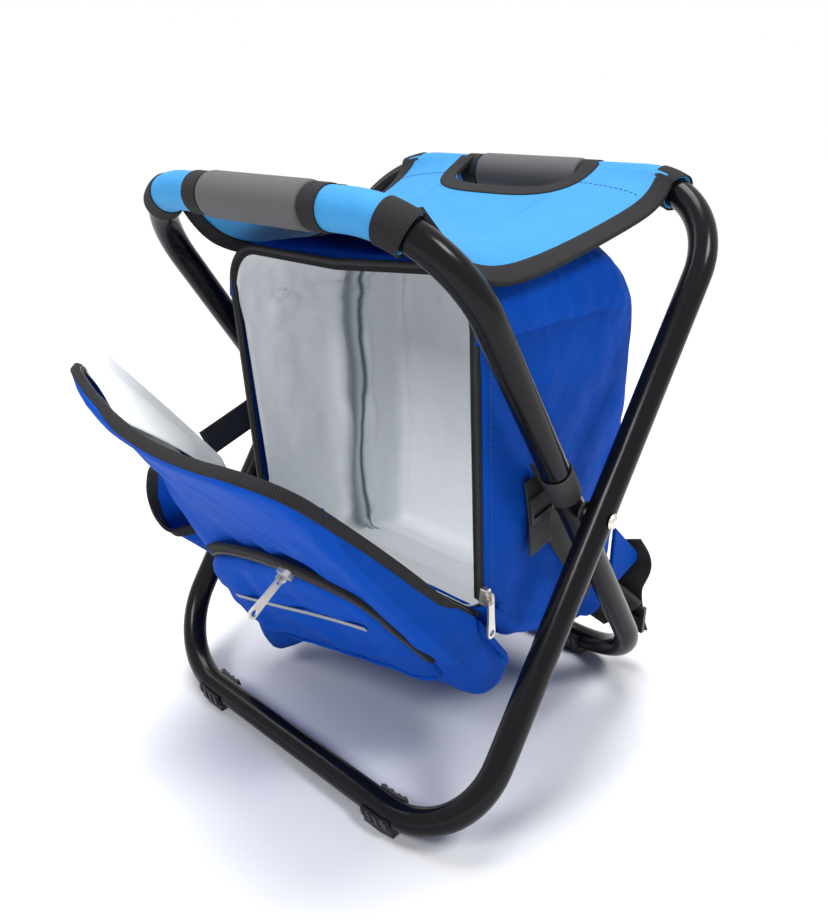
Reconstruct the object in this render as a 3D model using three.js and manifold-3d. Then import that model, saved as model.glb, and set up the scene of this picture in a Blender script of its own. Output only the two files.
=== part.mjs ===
// Folding cooler stool. Two rounded tube loops cross on a pair of rivets and carry a sling seat with grips.
// An insulated bag hangs between the legs, and its front opens as a shallow lid with a pocket and a pouch.
// Millimetres. X is the width, Y runs from front to back, Z is up, and the feet stand on z = 0.
import * as THREE from "three";
import { mergeVertices } from "three/addons/utils/BufferGeometryUtils.js";
import Module from "manifold-3d";

const wasm = await Module();
wasm.setup();

// Clearance between pieces that touch, and how finely round shapes are cut
const FIT = 0.3;
const LEAST_ROUND = 0.5;
const ARC_STEPS = 6;
const FAR = 400;

// Tube loops
const TUBE_RADIUS = 9.5;
const TUBE_WALL = 1.2;
const TUBE_SIDES = 16;
const BORE_SIDES = 10;
const BAR_HEIGHT = 400;
const FOOT_BAR_HEIGHT = 14;
const STANCE = 261;
const LEG_GAP = 2.4;
const BEND_RADIUS = 64;
const SEAM_GAP = 0.8;
const JOINER_LENGTH = 60;

// Pivot rivets and washers
const RIVET_RADIUS = 3;
const RIVET_HEAD_RADIUS = 5.5;
const RIVET_HEAD_HEIGHT = 2.4;
const WASHER_RADIUS = 7.5;

// Feet clipped on the two foot bars
const FOOT_LENGTH = 24;
const FOOT_WALL = 1.9;
const FOOT_PAD_HALF = 8;
const FOOT_CENTRE = 94;
const FOOT_RIBS = 4;
const FOOT_END = 1;
const FOOT_BROW = 0.75;
const FOOT_RIB_START = 0.08;
const FOOT_INNER_LIP = 0.55;
const FOOT_OUTER_LIP = 0.1;
const FOOT_RIB_WIDTH = 2.6;
const FOOT_RIB_HEIGHT = 0.9;

// Foam grips and the seat's sleeves on the top bars
const GRIP_HALF = 46;
const GRIP_WALL = 4;
const SLEEVE_WALL = 2.2;
const SLEEVE_REACH = 124;

// Sling seat
const SEAT_THICKNESS = 2;
const SEAT_SAG = 34;
const SEAT_LIFT_ANGLE = 0.35;
const SEAT_ROWS = 18;
const SEAT_COLUMNS = 20;
const CUT_DEPTH = 46;
const CUT_CORNER = 30;

// Bag body
const BAG_HALF = 117;
const BAG_LEG_GAP = 12.6;
const BAG_TOP_DROP = 39;
const BAG_REAR = 105;
const BAG_FLOOR = 62;
const BAG_CORNER = 36;
const BAG_REAR_ROUND = 48;
const BAG_LOW_ROUND = 20;
const PANEL = 5;
const LINING = 1;
const RIM_LEAN = THREE.MathUtils.degToRad(4.2);

// Hinge seam between bag and lid, and the zip tapes beside it
const HINGE_Y = -61;
const HINGE_Z = 141;
const SEAM_RADIUS = 2.2;
const SILL = 50;
const SILL_GAP = 2.2;
const TAPE_WIDTH = 8;
const TAPE_THICKNESS = 1.9;
const ZIP_END = 12;

// Lid, open as it hangs in use
const LID_OPEN = THREE.MathUtils.degToRad(38);
const LID_DEPTH_TOP = 17;
const LID_DEPTH_LOW = 64;
const LID_LOW = -72;
const LID_LOW_BACK = -56;
const LID_EDGE_ROUND = 6;
const LID_BELLY_ROUND = 26;
const LID_LOW_CORNER = 40;
const LID_BOW = 26;
const LID_BOW_X = 34;
const LID_BOW_REACH = 151;
const LID_BOW_START = 104;
const LID_BOW_CURVE = 1.4;
const LID_BOW_STEP = 22;
const LID_SEAM = 0.9;
const LID_FOLD_TOP = 188;
const LID_FOLD_LOW = 62;
const LID_FOLD_CREST = 16;
const LID_FOLD_X = 100;
const LID_FOLD_WIDTH = 60;
const LID_FOLD_STEPS = 4;
const HEM_THICKNESS = 2.2;
const HEM_TOP = 6;
const LINING_SETBACK = 3;

// Front pocket, measured on the lid's front face
const POCKET_HALF = 90;
const POCKET_TOP = 86;
const POCKET_LOW = -44;
const POCKET_CORNER = 28;
const POCKET_WALL = 2;
const POCKET_MOUTH = 7;
const POCKET_SHELF = 20;
const POCKET_SHELF_DROP = 8;
const POCKET_BELLY = 27;
const POCKET_BELLY_HEIGHT = 42;
const POCKET_TAPE_WIDTH = 10;
const POCKET_TAPE_LOW = 4;
const POCKET_SLIDER_X = 32;
const STRIP_HALF = 62;
const STRIP_HEIGHT = 4;
const STRIP_THICKNESS = 0.8;
const STRIP_DROP = 26;

// Pouch on the lid's left wall
const POUCH_OUT = 26;
const POUCH_BACK = 8;
const POUCH_FRONT = 43;
const POUCH_LOW = -40;
const POUCH_HIGH_BACK = 100;
const POUCH_HIGH_FRONT = 66;
const POUCH_WALL = 2.4;
const POUCH_ROUND = 14;
const BINDING = 3.2;

// Zip sliders and pulls
const SLIDER_LENGTH = 12;
const SLIDER_WIDTH = 8;
const SLIDER_HEIGHT = 4.4;
const CROWN_THICKNESS = 2.4;
const CROWN_LENGTH = 8;
const CROWN_HEIGHT = 4.2;
const PULL_PIN_RADIUS = 1;
const PULL_PIN_PLAY = 0.5;
const PULL_LENGTH = 31;
const PULL_THICKNESS = 1.6;
const PULL_WIDTH = 7.6;
const PULL_HOLE_RADIUS = 2.3;

// Side ties that hold the bag to the inner loop beside each pivot
const WEB_WIDTH = 25;
const WEB_THICKNESS = 1.6;
const TIE_REAR = [72, 107];
const TIE_FRONT = [-8, 213];
const TIE_LOOP_START = 14;
const TIE_LOOP_WALL = 1.1;
const TIE_TAIL_DROP = 58;
const TIE_TAIL_TURN = 0.42;
const BUCKLE_LENGTH = 20;
const BUCKLE_OVERHANG = 3;
const BUCKLE_THICKNESS = 3;

// Shoulder straps behind the bag
const STRAP_WIDTH = 48;
const STRAP_THICKNESS = 8;
const STRAP_TOP_X = 40;
const STRAP_TOP_Z = 292;
const STRAP_LOW_REACH = 40;
const STRAP_LOW_Z = 46;
const STRAP_STEPS = 12;
const TAB_TOP = 144;
const TAB_LOW = 88;
const TAB_REACH = 42;
const TAB_TIP_Z = 102;
const TAB_THICKNESS = 3;
const ADJUSTER_WIDTH = 34;
const ADJUSTER_HEIGHT = 24;
const ADJUSTER_THICKNESS = 4;
const ADJUSTER_BAR = 4;

// Places that follow from the sizes above
const RISE = BAR_HEIGHT - FOOT_BAR_HEIGHT;
const LEG_LEAN = Math.atan2(STANCE, RISE);
const LOOP_HALF = Math.hypot(STANCE, RISE) / 2;
const PIVOT_Z = (BAR_HEIGHT + FOOT_BAR_HEIGHT) / 2;
const INNER_HALF = BAG_HALF + BAG_LEG_GAP + TUBE_RADIUS;
const OUTER_HALF = INNER_HALF + 2 * TUBE_RADIUS + LEG_GAP;
const BAG_TOP = BAR_HEIGHT - BAG_TOP_DROP;
const STRAP_LOW_X = BAG_HALF - TAB_THICKNESS;
const SLEEVE_START = GRIP_HALF + 2 * FIT;
const SLEEVE_RADIUS = TUBE_RADIUS + FIT + SLEEVE_WALL;
const LID_LEAN = RIM_LEAN + LID_OPEN;
const RIM_BACK = SEAM_RADIUS + FIT;
const LID_RIM = RIM_BACK + LID_SEAM - FIT;
const LID_TOP = (BAG_TOP - HINGE_Z) / Math.cos(RIM_LEAN);
const LID_TAPER = Math.atan2(LID_DEPTH_LOW - LID_DEPTH_TOP, LID_TOP - LID_LOW);
const LID_FACE_AT_HINGE = LID_DEPTH_LOW + LID_LOW * Math.tan(LID_TAPER);

// Finishes
const finish = (color, roughness, metalness = 0) =>
  new THREE.MeshStandardMaterial({ color, roughness, metalness });
const BLACK_STEEL = finish(0x17181a, 0.28, 0.5);
const BRIGHT_STEEL = finish(0xcfd0d2, 0.25, 1);
const BLACK_PLASTIC = finish(0x151517, 0.55);
const GREY_FOAM = finish(0x5d5f63, 0.9);
const BLUE_CLOTH = finish(0x0b4fd0, 0.75);
const BLACK_TAPE = finish(0x141416, 0.85);
const SILVER_LINING = finish(0xc4c9cf, 0.4, 0.2);
const REFLECTIVE = finish(0x8d8f88, 0.35);

// A closed surface with shared vertices as a solid, turned so that its faces point outwards.
function solidOf(geometry) {
  const bare = new THREE.BufferGeometry();
  bare.setAttribute("position", geometry.getAttribute("position"));
  bare.setIndex(geometry.getIndex());
  const merged = mergeVertices(bare, 1e-4);
  const vertProperties = new Float32Array(merged.getAttribute("position").array);
  const triVerts = new Uint32Array(merged.getIndex().array);
  const made = new wasm.Manifold(new wasm.Mesh({ numProp: 3, vertProperties, triVerts }));
  if (made.volume() > 0) return made;
  for (let i = 0; i < triVerts.length; i += 3) triVerts.subarray(i, i + 3).reverse();
  return new wasm.Manifold(new wasm.Mesh({ numProp: 3, vertProperties, triVerts }));
}

function geometryOf(solid) {
  const mesh = solid.getMesh();
  const geometry = new THREE.BufferGeometry();
  geometry.setAttribute("position", new THREE.BufferAttribute(mesh.vertProperties, 3));
  geometry.setIndex(new THREE.BufferAttribute(mesh.triVerts, 1));
  return geometry;
}

function addPiece(group, name, solid, material) {
  const mesh = new THREE.Mesh(geometryOf(solid), material);
  mesh.name = name;
  group.add(mesh);
}

function extruded(outline, depth) {
  return new THREE.ExtrudeGeometry(new THREE.Shape(outline), { depth, bevelEnabled: false });
}

// An outline in (y, z) carried along X.
function alongX(outline, from, to) {
  const turn = new THREE.Matrix4().makeBasis(
    new THREE.Vector3(0, 1, 0),
    new THREE.Vector3(0, 0, 1),
    new THREE.Vector3(1, 0, 0),
  );
  return solidOf(extruded(outline, to - from).applyMatrix4(turn).translate(from, 0, 0));
}

// An outline in (x, z) carried along Y.
function alongY(outline, from, to) {
  return solidOf(extruded(outline, to - from).rotateX(Math.PI / 2).translate(0, to, 0));
}

// An outline in (x, y) carried along Z.
function alongZ(outline, from, to) {
  return solidOf(extruded(outline, to - from).translate(0, 0, from));
}

function box(x, y, z) {
  const geometry = new THREE.BoxGeometry(x[1] - x[0], y[1] - y[0], z[1] - z[0]);
  return solidOf(geometry.translate((x[0] + x[1]) / 2, (y[0] + y[1]) / 2, (z[0] + z[1]) / 2));
}

function rod(radius, from, to, sides) {
  const geometry = new THREE.CylinderGeometry(radius, radius, to - from, sides);
  return solidOf(geometry.rotateZ(-Math.PI / 2).translate((from + to) / 2, 0, 0));
}

// A closed outline from corners [a, b, radius]; a corner with a radius is rounded by an arc.
function rounded(corners) {
  const points = [];
  corners.forEach(([a, b, radius = 0], i) => {
    const here = new THREE.Vector2(a, b);
    if (radius <= 0) {
      points.push(here);
      return;
    }
    const before = new THREE.Vector2(...corners.at(i - 1)).sub(here).normalize();
    const after = new THREE.Vector2(...corners[(i + 1) % corners.length]).sub(here).normalize();
    const half = before.angleTo(after) / 2;
    const centre = before.clone().add(after).setLength(radius / Math.sin(half)).add(here);
    const reach = radius / Math.tan(half);
    const start = before.multiplyScalar(reach).add(here).sub(centre).angle();
    const end = after.multiplyScalar(reach).add(here).sub(centre).angle();
    const sweep = ((end - start + 3 * Math.PI) % (2 * Math.PI)) - Math.PI;
    for (let k = 0; k <= ARC_STEPS; k++) {
      const angle = start + (sweep * k) / ARC_STEPS;
      points.push(new THREE.Vector2(Math.cos(angle), Math.sin(angle)).multiplyScalar(radius).add(centre));
    }
  });
  return points;
}

// Anticlockwise corners with side i, from corner i to the next, moved inwards by its own distance.
function inset(corners, distances) {
  const sides = corners.map(([a, b], i) => {
    const [c, d] = corners[(i + 1) % corners.length];
    const along = new THREE.Vector2(c - a, d - b).normalize();
    const start = new THREE.Vector2(a - along.y * distances[i], b + along.x * distances[i]);
    return { start, along };
  });
  return corners.map(([, , radius = 0], i) => {
    const last = sides.at(i - 1);
    const next = sides[i];
    const gap = next.start.clone().sub(last.start);
    const t = gap.cross(next.along) / last.along.cross(next.along);
    const corner = last.along.clone().multiplyScalar(t).add(last.start);
    const deepest = Math.max(distances.at(i - 1), distances[i]);
    return [corner.x, corner.y, radius > 0 ? Math.max(radius - deepest, LEAST_ROUND) : 0];
  });
}

// A section in (a, b) carried along stations; a and b run along each station's own two axes.
function sweep(section, stations) {
  const count = section.length;
  const positions = [];
  for (const { point, a, b } of stations)
    for (const [u, v] of section)
      positions.push(point.x + a.x * u + b.x * v, point.y + a.y * u + b.y * v, point.z + a.z * u + b.z * v);
  const index = [];
  for (let i = 0; i + 1 < stations.length; i++)
    for (let j = 0; j < count; j++) {
      const k = (j + 1) % count;
      const [p, q, r, s] = [i * count + j, i * count + k, (i + 1) * count + k, (i + 1) * count + j];
      index.push(p, q, r, p, r, s);
    }
  const last = (stations.length - 1) * count;
  const contour = section.map(([u, v]) => new THREE.Vector2(u, v));
  for (const [p, q, r] of THREE.ShapeUtils.triangulateShape(contour, []))
    index.push(p, r, q, last + p, last + q, last + r);
  const geometry = new THREE.BufferGeometry();
  geometry.setAttribute("position", new THREE.Float32BufferAttribute(positions, 3));
  geometry.setIndex(index);
  return solidOf(geometry);
}

function circle(radius, sides) {
  return Array.from({ length: sides }, (_, i) => {
    const angle = (2 * Math.PI * i) / sides;
    return [radius * Math.cos(angle), radius * Math.sin(angle)];
  });
}

// Corners of a loop's centre line, walked clockwise from the middle of its top bar, with the distance so far.
function loopCorners(halfWidth) {
  const corners = [{ at: 0, x: 0, z: LOOP_HALF, heading: 0 }];
  const straight = (length) => {
    const { at, x, z, heading } = corners.at(-1);
    const [aside, down] = [length * Math.cos(heading), length * Math.sin(heading)];
    corners.push({ at: at + length, x: x + aside, z: z - down, heading });
  };
  const bend = () => {
    const start = corners.at(-1);
    for (let k = 1; k <= ARC_STEPS; k++) {
      const heading = start.heading + ((Math.PI / 2) * k) / ARC_STEPS;
      corners.push({
        at: start.at + BEND_RADIUS * (heading - start.heading),
        x: start.x + BEND_RADIUS * (Math.sin(heading) - Math.sin(start.heading)),
        z: start.z + BEND_RADIUS * (Math.cos(heading) - Math.cos(start.heading)),
        heading,
      });
    }
  };
  for (let half = 0; half < 2; half++) {
    straight(halfWidth - BEND_RADIUS);
    bend();
    straight(2 * (LOOP_HALF - BEND_RADIUS));
    bend();
    straight(halfWidth - BEND_RADIUS);
  }
  return corners;
}

function loopLength(halfWidth) {
  return loopCorners(halfWidth).at(-1).at;
}

// The station at a distance along the loop; a negative distance is the mirror image on the other side.
function loopStation(halfWidth, distance) {
  const corners = loopCorners(halfWidth);
  const along = Math.abs(distance);
  const i = Math.min(corners.findLastIndex(({ at }) => at <= along), corners.length - 2);
  const [p, q] = [corners[i], corners[i + 1]];
  const share = (along - p.at) / (q.at - p.at);
  const mix = (from, to) => from + (to - from) * share;
  const side = distance < 0 ? -1 : 1;
  const point = new THREE.Vector3(side * mix(p.x, q.x), 0, mix(p.z, q.z));
  const outwardX = mix(Math.sin(p.heading), Math.sin(q.heading));
  const outwardZ = mix(Math.cos(p.heading), Math.cos(q.heading));
  return { point, a: new THREE.Vector3(0, 1, 0), b: new THREE.Vector3(side * outwardX, 0, outwardZ) };
}

// Stations from one distance to another: both ends and every corner of the loop between them.
function loopStations(halfWidth, from, to) {
  const marks = loopCorners(halfWidth).flatMap(({ at }) => [at, -at]);
  const inside = marks.filter((mark) => mark > from + 1 && mark < to - 1).sort((p, q) => p - q);
  const single = inside.filter((mark, i) => i === 0 || mark - inside[i - 1] > 0.01);
  return [from, ...single, to].map((distance) => loopStation(halfWidth, distance));
}

// The point on a top bar's centre line at a given x, in the loop's own plane.
function barPoint(halfWidth, x) {
  const over = Math.max(Math.abs(x) - (halfWidth - BEND_RADIUS), 0);
  return LOOP_HALF - BEND_RADIUS + Math.sqrt(BEND_RADIUS ** 2 - over ** 2);
}

// The two loops' own frames: the outer loop's top leans back, the inner loop's top leans forward.
function leaningGroup(lean) {
  const group = new THREE.Group();
  group.position.z = PIVOT_Z;
  group.rotation.x = lean;
  return group;
}

const stool = new THREE.Group();
const outerLoop = leaningGroup(-LEG_LEAN);
const innerLoop = leaningGroup(LEG_LEAN);
stool.add(outerLoop, innerLoop);

// Hollow tube bent to a loop, with a butt seam midway along the top bar and a rivet hole through each leg.
function tubeLoop(halfWidth) {
  const length = loopLength(halfWidth);
  const skin = sweep(
    circle(TUBE_RADIUS, TUBE_SIDES),
    loopStations(halfWidth, SEAM_GAP / 2, length - SEAM_GAP / 2),
  );
  const bore = sweep(
    circle(TUBE_RADIUS - TUBE_WALL, BORE_SIDES),
    loopStations(halfWidth, SEAM_GAP / 4, length - SEAM_GAP / 4),
  );
  const reach = halfWidth + 2 * TUBE_RADIUS;
  return skin.subtract(bore).subtract(rod(RIVET_RADIUS + FIT, -reach, reach, TUBE_SIDES));
}

function joiner() {
  const radius = (TUBE_RADIUS - TUBE_WALL) * Math.cos(Math.PI / BORE_SIDES) - FIT;
  return rod(radius, -JOINER_LENGTH / 2, JOINER_LENGTH / 2, BORE_SIDES).translate([0, 0, LOOP_HALF]);
}

addPiece(outerLoop, "outer_frame_tube", tubeLoop(OUTER_HALF), BLACK_STEEL);
addPiece(innerLoop, "inner_frame_tube", tubeLoop(INNER_HALF), BLACK_STEEL);
addPiece(outerLoop, "rear_bar_joiner", joiner(), BRIGHT_STEEL);
addPiece(innerLoop, "front_bar_joiner", joiner(), BRIGHT_STEEL);

// A rivet through both tubes, turned about X: domed head outside, flat head inside.
function rivet() {
  const inside = INNER_HALF - TUBE_RADIUS - FIT;
  const outside = OUTER_HALF + TUBE_RADIUS + FIT;
  const dome = RIVET_HEAD_HEIGHT / 2;
  const profile = [
    [0, inside - dome],
    [RIVET_HEAD_RADIUS, inside - dome],
    [RIVET_HEAD_RADIUS, inside],
    [RIVET_RADIUS, inside],
    [RIVET_RADIUS, outside],
    [RIVET_HEAD_RADIUS, outside],
    [RIVET_HEAD_RADIUS * 0.85, outside + dome],
    [RIVET_HEAD_RADIUS * 0.5, outside + RIVET_HEAD_HEIGHT * 0.9],
    [0, outside + RIVET_HEAD_HEIGHT],
  ];
  const points = profile.map(([radius, along]) => new THREE.Vector2(radius, along));
  return solidOf(new THREE.LatheGeometry(points, TUBE_SIDES).rotateZ(-Math.PI / 2));
}

function washer() {
  const near = INNER_HALF + TUBE_RADIUS + FIT;
  const far = OUTER_HALF - TUBE_RADIUS - FIT;
  const disc = rod(WASHER_RADIUS, near, far, TUBE_SIDES);
  return disc.subtract(rod(RIVET_RADIUS + FIT, near - FIT, far + FIT, TUBE_SIDES));
}

const SIDES = [
  ["left", -1],
  ["right", 1],
];
const sided = (solid, side) => (side < 0 ? solid.mirror([1, 0, 0]) : solid);
for (const [word, side] of SIDES) {
  addPiece(outerLoop, `pivot_rivet_${word}`, sided(rivet(), side), BRIGHT_STEEL);
  addPiece(outerLoop, `pivot_washer_${word}`, sided(washer(), side), BLACK_PLASTIC);
}

// Points on an arc of a foot's section round the bar, from one angle to another; down is +b.
function footArc(radius, from, to, steps) {
  const points = [];
  for (let k = 0; k <= steps; k++) {
    const angle = from + ((to - from) * k) / steps;
    points.push([radius * Math.cos(angle), radius * Math.sin(angle)]);
  }
  return points;
}

// A foot: a clip open above, with a flat pad at the floor and ribs on its two walls. Its wall reaches higher
// on the stool's inner side, which inside gives as +1 or -1.
function foot(halfWidth, lean, centre, inside) {
  const middle = loopLength(halfWidth) / 2 + centre;
  const inner = TUBE_RADIUS + FIT;
  const outer = inner + FOOT_WALL;
  const [right, left] = inside > 0 ? [FOOT_INNER_LIP, FOOT_OUTER_LIP] : [FOOT_OUTER_LIP, FOOT_INNER_LIP];
  const upright = (points) => {
    const [c, s] = [Math.cos(lean), Math.sin(lean)];
    return points.map(([u, v]) => [u * c - v * s, u * s + v * c]);
  };
  const clip = [
    ...footArc(outer, -right, FOOT_BROW, ARC_STEPS / 2),
    [FOOT_PAD_HALF, FOOT_BAR_HEIGHT],
    [-FOOT_PAD_HALF, FOOT_BAR_HEIGHT],
    ...footArc(outer, Math.PI - FOOT_BROW, Math.PI + left, ARC_STEPS / 2),
    ...footArc(inner, Math.PI + left, -right, 2 * ARC_STEPS),
  ];
  const low = middle - FOOT_LENGTH / 2;
  let made = sweep(upright(clip), loopStations(halfWidth, low, low + FOOT_LENGTH));
  const walls = [
    [FOOT_RIB_START - right, FOOT_BROW],
    [Math.PI - FOOT_BROW, Math.PI + left - FOOT_RIB_START],
  ];
  const pitch = (FOOT_LENGTH - 2 * FOOT_END - FOOT_RIB_WIDTH) / (FOOT_RIBS - 1);
  for (const [from, to] of walls) {
    const rib = [
      ...footArc(outer + FOOT_RIB_HEIGHT, from, to, ARC_STEPS / 2),
      ...footArc(inner + FOOT_WALL / 2, to, from, ARC_STEPS / 2),
    ];
    for (let i = 0; i < FOOT_RIBS; i++) {
      const start = low + FOOT_END + i * pitch;
      made = made.add(sweep(upright(rib), loopStations(halfWidth, start, start + FOOT_RIB_WIDTH)));
    }
  }
  return made;
}

const innerFootCentre = FOOT_CENTRE - (OUTER_HALF - INNER_HALF);
for (const [word, side] of SIDES) {
  const frontFoot = foot(OUTER_HALF, -LEG_LEAN, -side * FOOT_CENTRE, 1);
  addPiece(outerLoop, `front_foot_${word}`, frontFoot, BLACK_PLASTIC);
  const rearFoot = foot(INNER_HALF, LEG_LEAN, -side * innerFootCentre, -1);
  addPiece(innerLoop, `rear_foot_${word}`, rearFoot, BLACK_PLASTIC);
}

// A hollow cover round a stretch of a top bar.
function barCover(halfWidth, from, to, wall) {
  const inner = TUBE_RADIUS + FIT;
  const cover = sweep(circle(inner + wall, TUBE_SIDES), loopStations(halfWidth, from, to));
  const clear = loopStations(halfWidth, from - TUBE_RADIUS, to + TUBE_RADIUS);
  return cover.subtract(sweep(circle(inner, TUBE_SIDES), clear));
}

// Distance along the loop at which its centre line reaches a given x.
function distanceAt(halfWidth, x) {
  const straight = halfWidth - BEND_RADIUS;
  return x <= straight ? x : straight + BEND_RADIUS * Math.asin((x - straight) / BEND_RADIUS);
}

for (const [place, group, halfWidth] of [
  ["front", innerLoop, INNER_HALF],
  ["rear", outerLoop, OUTER_HALF],
]) {
  addPiece(group, `${place}_grip`, barCover(halfWidth, -GRIP_HALF, GRIP_HALF, GRIP_WALL), GREY_FOAM);
  const reach = distanceAt(halfWidth, SLEEVE_REACH);
  for (const [word, side] of SIDES) {
    const [from, to] = side < 0 ? [-reach, -SLEEVE_START] : [SLEEVE_START, reach];
    addPiece(group, `${place}_sleeve_${word}`, barCover(halfWidth, from, to, SLEEVE_WALL), BLUE_CLOTH);
  }
}

// A point of the loop's plane, at height h along it, in the stool's frame.
function inStool(h, lean) {
  return [-h * Math.sin(lean), PIVOT_Z + h * Math.cos(lean)];
}

// The sling hangs from bar to bar as a parabola, and follows the bars' bends down at its two wings.
// p runs from front (-1) to rear (1) and q from left (-1) to right (1).
function seatPoint(p, q) {
  const x = q * SLEEVE_REACH;
  const [frontY, frontZ] = inStool(barPoint(INNER_HALF, x), LEG_LEAN);
  const [rearY, rearZ] = inStool(barPoint(OUTER_HALF, x), -LEG_LEAN);
  const reach = SLEEVE_RADIUS + 2 * FIT + SEAT_THICKNESS / 2;
  const share = (1 + p) / 2;
  const startY = frontY + reach * Math.cos(SEAT_LIFT_ANGLE);
  const endY = rearY - reach * Math.cos(SEAT_LIFT_ANGLE);
  const lift = reach * Math.sin(SEAT_LIFT_ANGLE);
  const y = startY + (endY - startY) * share;
  const z = frontZ + (rearZ - frontZ) * share + lift - SEAT_SAG * (1 - p * p);
  return new THREE.Vector3(x, y, z);
}

function seatSheet() {
  const positions = [];
  const index = [];
  const width = SEAT_COLUMNS + 1;
  const layer = (SEAT_ROWS + 1) * width;
  for (const offset of [SEAT_THICKNESS / 2, -SEAT_THICKNESS / 2])
    for (let i = 0; i <= SEAT_ROWS; i++)
      for (let j = 0; j <= SEAT_COLUMNS; j++) {
        const { x, y, z } = seatPoint((2 * i) / SEAT_ROWS - 1, (2 * j) / SEAT_COLUMNS - 1);
        positions.push(x, y, z + offset);
      }
  const quad = (p, q, r, s) => index.push(p, q, r, p, r, s);
  for (let i = 0; i < SEAT_ROWS; i++)
    for (let j = 0; j < SEAT_COLUMNS; j++) {
      const p = i * width + j;
      quad(p, p + 1, p + width + 1, p + width);
      quad(layer + p, layer + p + width, layer + p + width + 1, layer + p + 1);
    }
  const rim = [];
  for (let j = 0; j < SEAT_COLUMNS; j++) rim.push(j);
  for (let i = 0; i < SEAT_ROWS; i++) rim.push(i * width + SEAT_COLUMNS);
  for (let j = SEAT_COLUMNS; j > 0; j--) rim.push(SEAT_ROWS * width + j);
  for (let i = SEAT_ROWS; i > 0; i--) rim.push(i * width);
  rim.forEach((p, k) => {
    const q = rim[(k + 1) % rim.length];
    quad(p, layer + p, layer + q, q);
  });
  const geometry = new THREE.BufferGeometry();
  geometry.setAttribute("position", new THREE.Float32BufferAttribute(positions, 3));
  geometry.setIndex(index);
  return solidOf(geometry);
}

// The sling with its U-shaped cut-out at each grip.
function seatPanel() {
  const half = SLEEVE_START + FIT;
  const bottom = STANCE / 2 - CUT_DEPTH;
  const cut = rounded([
    [-half, STANCE],
    [-half, bottom, CUT_CORNER],
    [half, bottom, CUT_CORNER],
    [half, STANCE],
  ]);
  const rear = alongZ(cut, 0, FAR * 2);
  return seatSheet().subtract(rear).subtract(rear.mirror([0, 1, 0]));
}

addPiece(stool, "seat_panel", seatPanel(), BLUE_CLOTH);

// The bag's frames: the rim plane leans forward a little, and the lid's own frame turns on the hinge seam.
function hingeGroup(lean) {
  const group = new THREE.Group();
  group.position.set(0, HINGE_Y, HINGE_Z);
  group.rotation.x = lean;
  return group;
}

const rim = hingeGroup(RIM_LEAN);
const lid = hingeGroup(LID_LEAN);
stool.add(rim, lid);

// The (y, z) of a height up a leaning plane through the hinge and a depth in front of that plane.
function onLean(lean, height, depth) {
  const y = HINGE_Y - height * Math.sin(lean) - depth * Math.cos(lean);
  return [y, HINGE_Z + height * Math.cos(lean) - depth * Math.sin(lean)];
}

// Side profile of the bag in (y, z): sill, floor, back, top and the open front.
const BAG_PROFILE = [
  onLean(RIM_LEAN, 0, -RIM_BACK),
  onLean(LID_LEAN, -SILL, -SILL_GAP),
  [BAG_REAR, BAG_FLOOR, BAG_LOW_ROUND],
  [BAG_REAR, BAG_TOP, BAG_REAR_ROUND],
  onLean(RIM_LEAN, LID_TOP, -RIM_BACK),
];
const bagOutline = (gap, low) =>
  rounded(
    inset(
      [
        [-BAG_HALF, low],
        [BAG_HALF, low],
        [BAG_HALF, BAG_TOP, BAG_CORNER],
        [-BAG_HALF, BAG_TOP, BAG_CORNER],
      ],
      [0, gap, gap, gap],
    ),
  );

// The bag's whole form at a distance inside its outer skin; the front stays open for any distance over 0.
function bagForm(gap) {
  const front = gap > 0 ? -BAG_REAR : 0;
  const profile = rounded(inset(BAG_PROFILE, [gap, gap, gap, gap, front]));
  const side = alongX(profile, -FAR, FAR);
  return side.intersect(alongY(bagOutline(gap, -FAR), -FAR, FAR));
}

const bagShell = bagForm(0).subtract(bagForm(PANEL));
const topSeam = BAG_TOP - Math.max(BAG_REAR_ROUND, BAG_CORNER) - PANEL;
const sideSeam = BAG_HALF - PANEL;
const backSeam = BAG_REAR - PANEL - FIT;
const lowSeam = BAG_FLOOR + BAG_LOW_ROUND;
const ALL = [-FAR, FAR];

function bagPanels() {
  const middle = [-sideSeam + FIT, sideSeam - FIT];
  const below = box(ALL, ALL, [-FAR, topSeam - FIT]);
  const wrap = bagShell.intersect(below).intersect(box(middle, ALL, ALL));
  return {
    bag_top_panel: bagShell.intersect(box(ALL, ALL, [topSeam, BAG_TOP + FAR])),
    bag_left_panel: bagShell.intersect(below).intersect(box([-FAR, -sideSeam], ALL, ALL)),
    bag_right_panel: bagShell.intersect(below).intersect(box([sideSeam, FAR], ALL, ALL)),
    bag_back_panel: wrap.intersect(box(ALL, [backSeam, FAR], [lowSeam, FAR])),
    bag_bottom_panel: wrap.subtract(box(ALL, [backSeam - FIT, FAR], [lowSeam - FIT, FAR])),
  };
}

for (const [name, panel] of Object.entries(bagPanels())) addPiece(stool, name, panel, BLUE_CLOTH);
const bagLining = bagForm(PANEL + FIT).subtract(bagForm(PANEL + FIT + LINING)).intersect(bagForm(0));
addPiece(stool, "bag_lining", bagLining, SILVER_LINING);
addPiece(rim, "hinge_seam", rod(SEAM_RADIUS, -sideSeam, sideSeam, TUBE_SIDES), BLACK_TAPE);

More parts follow.
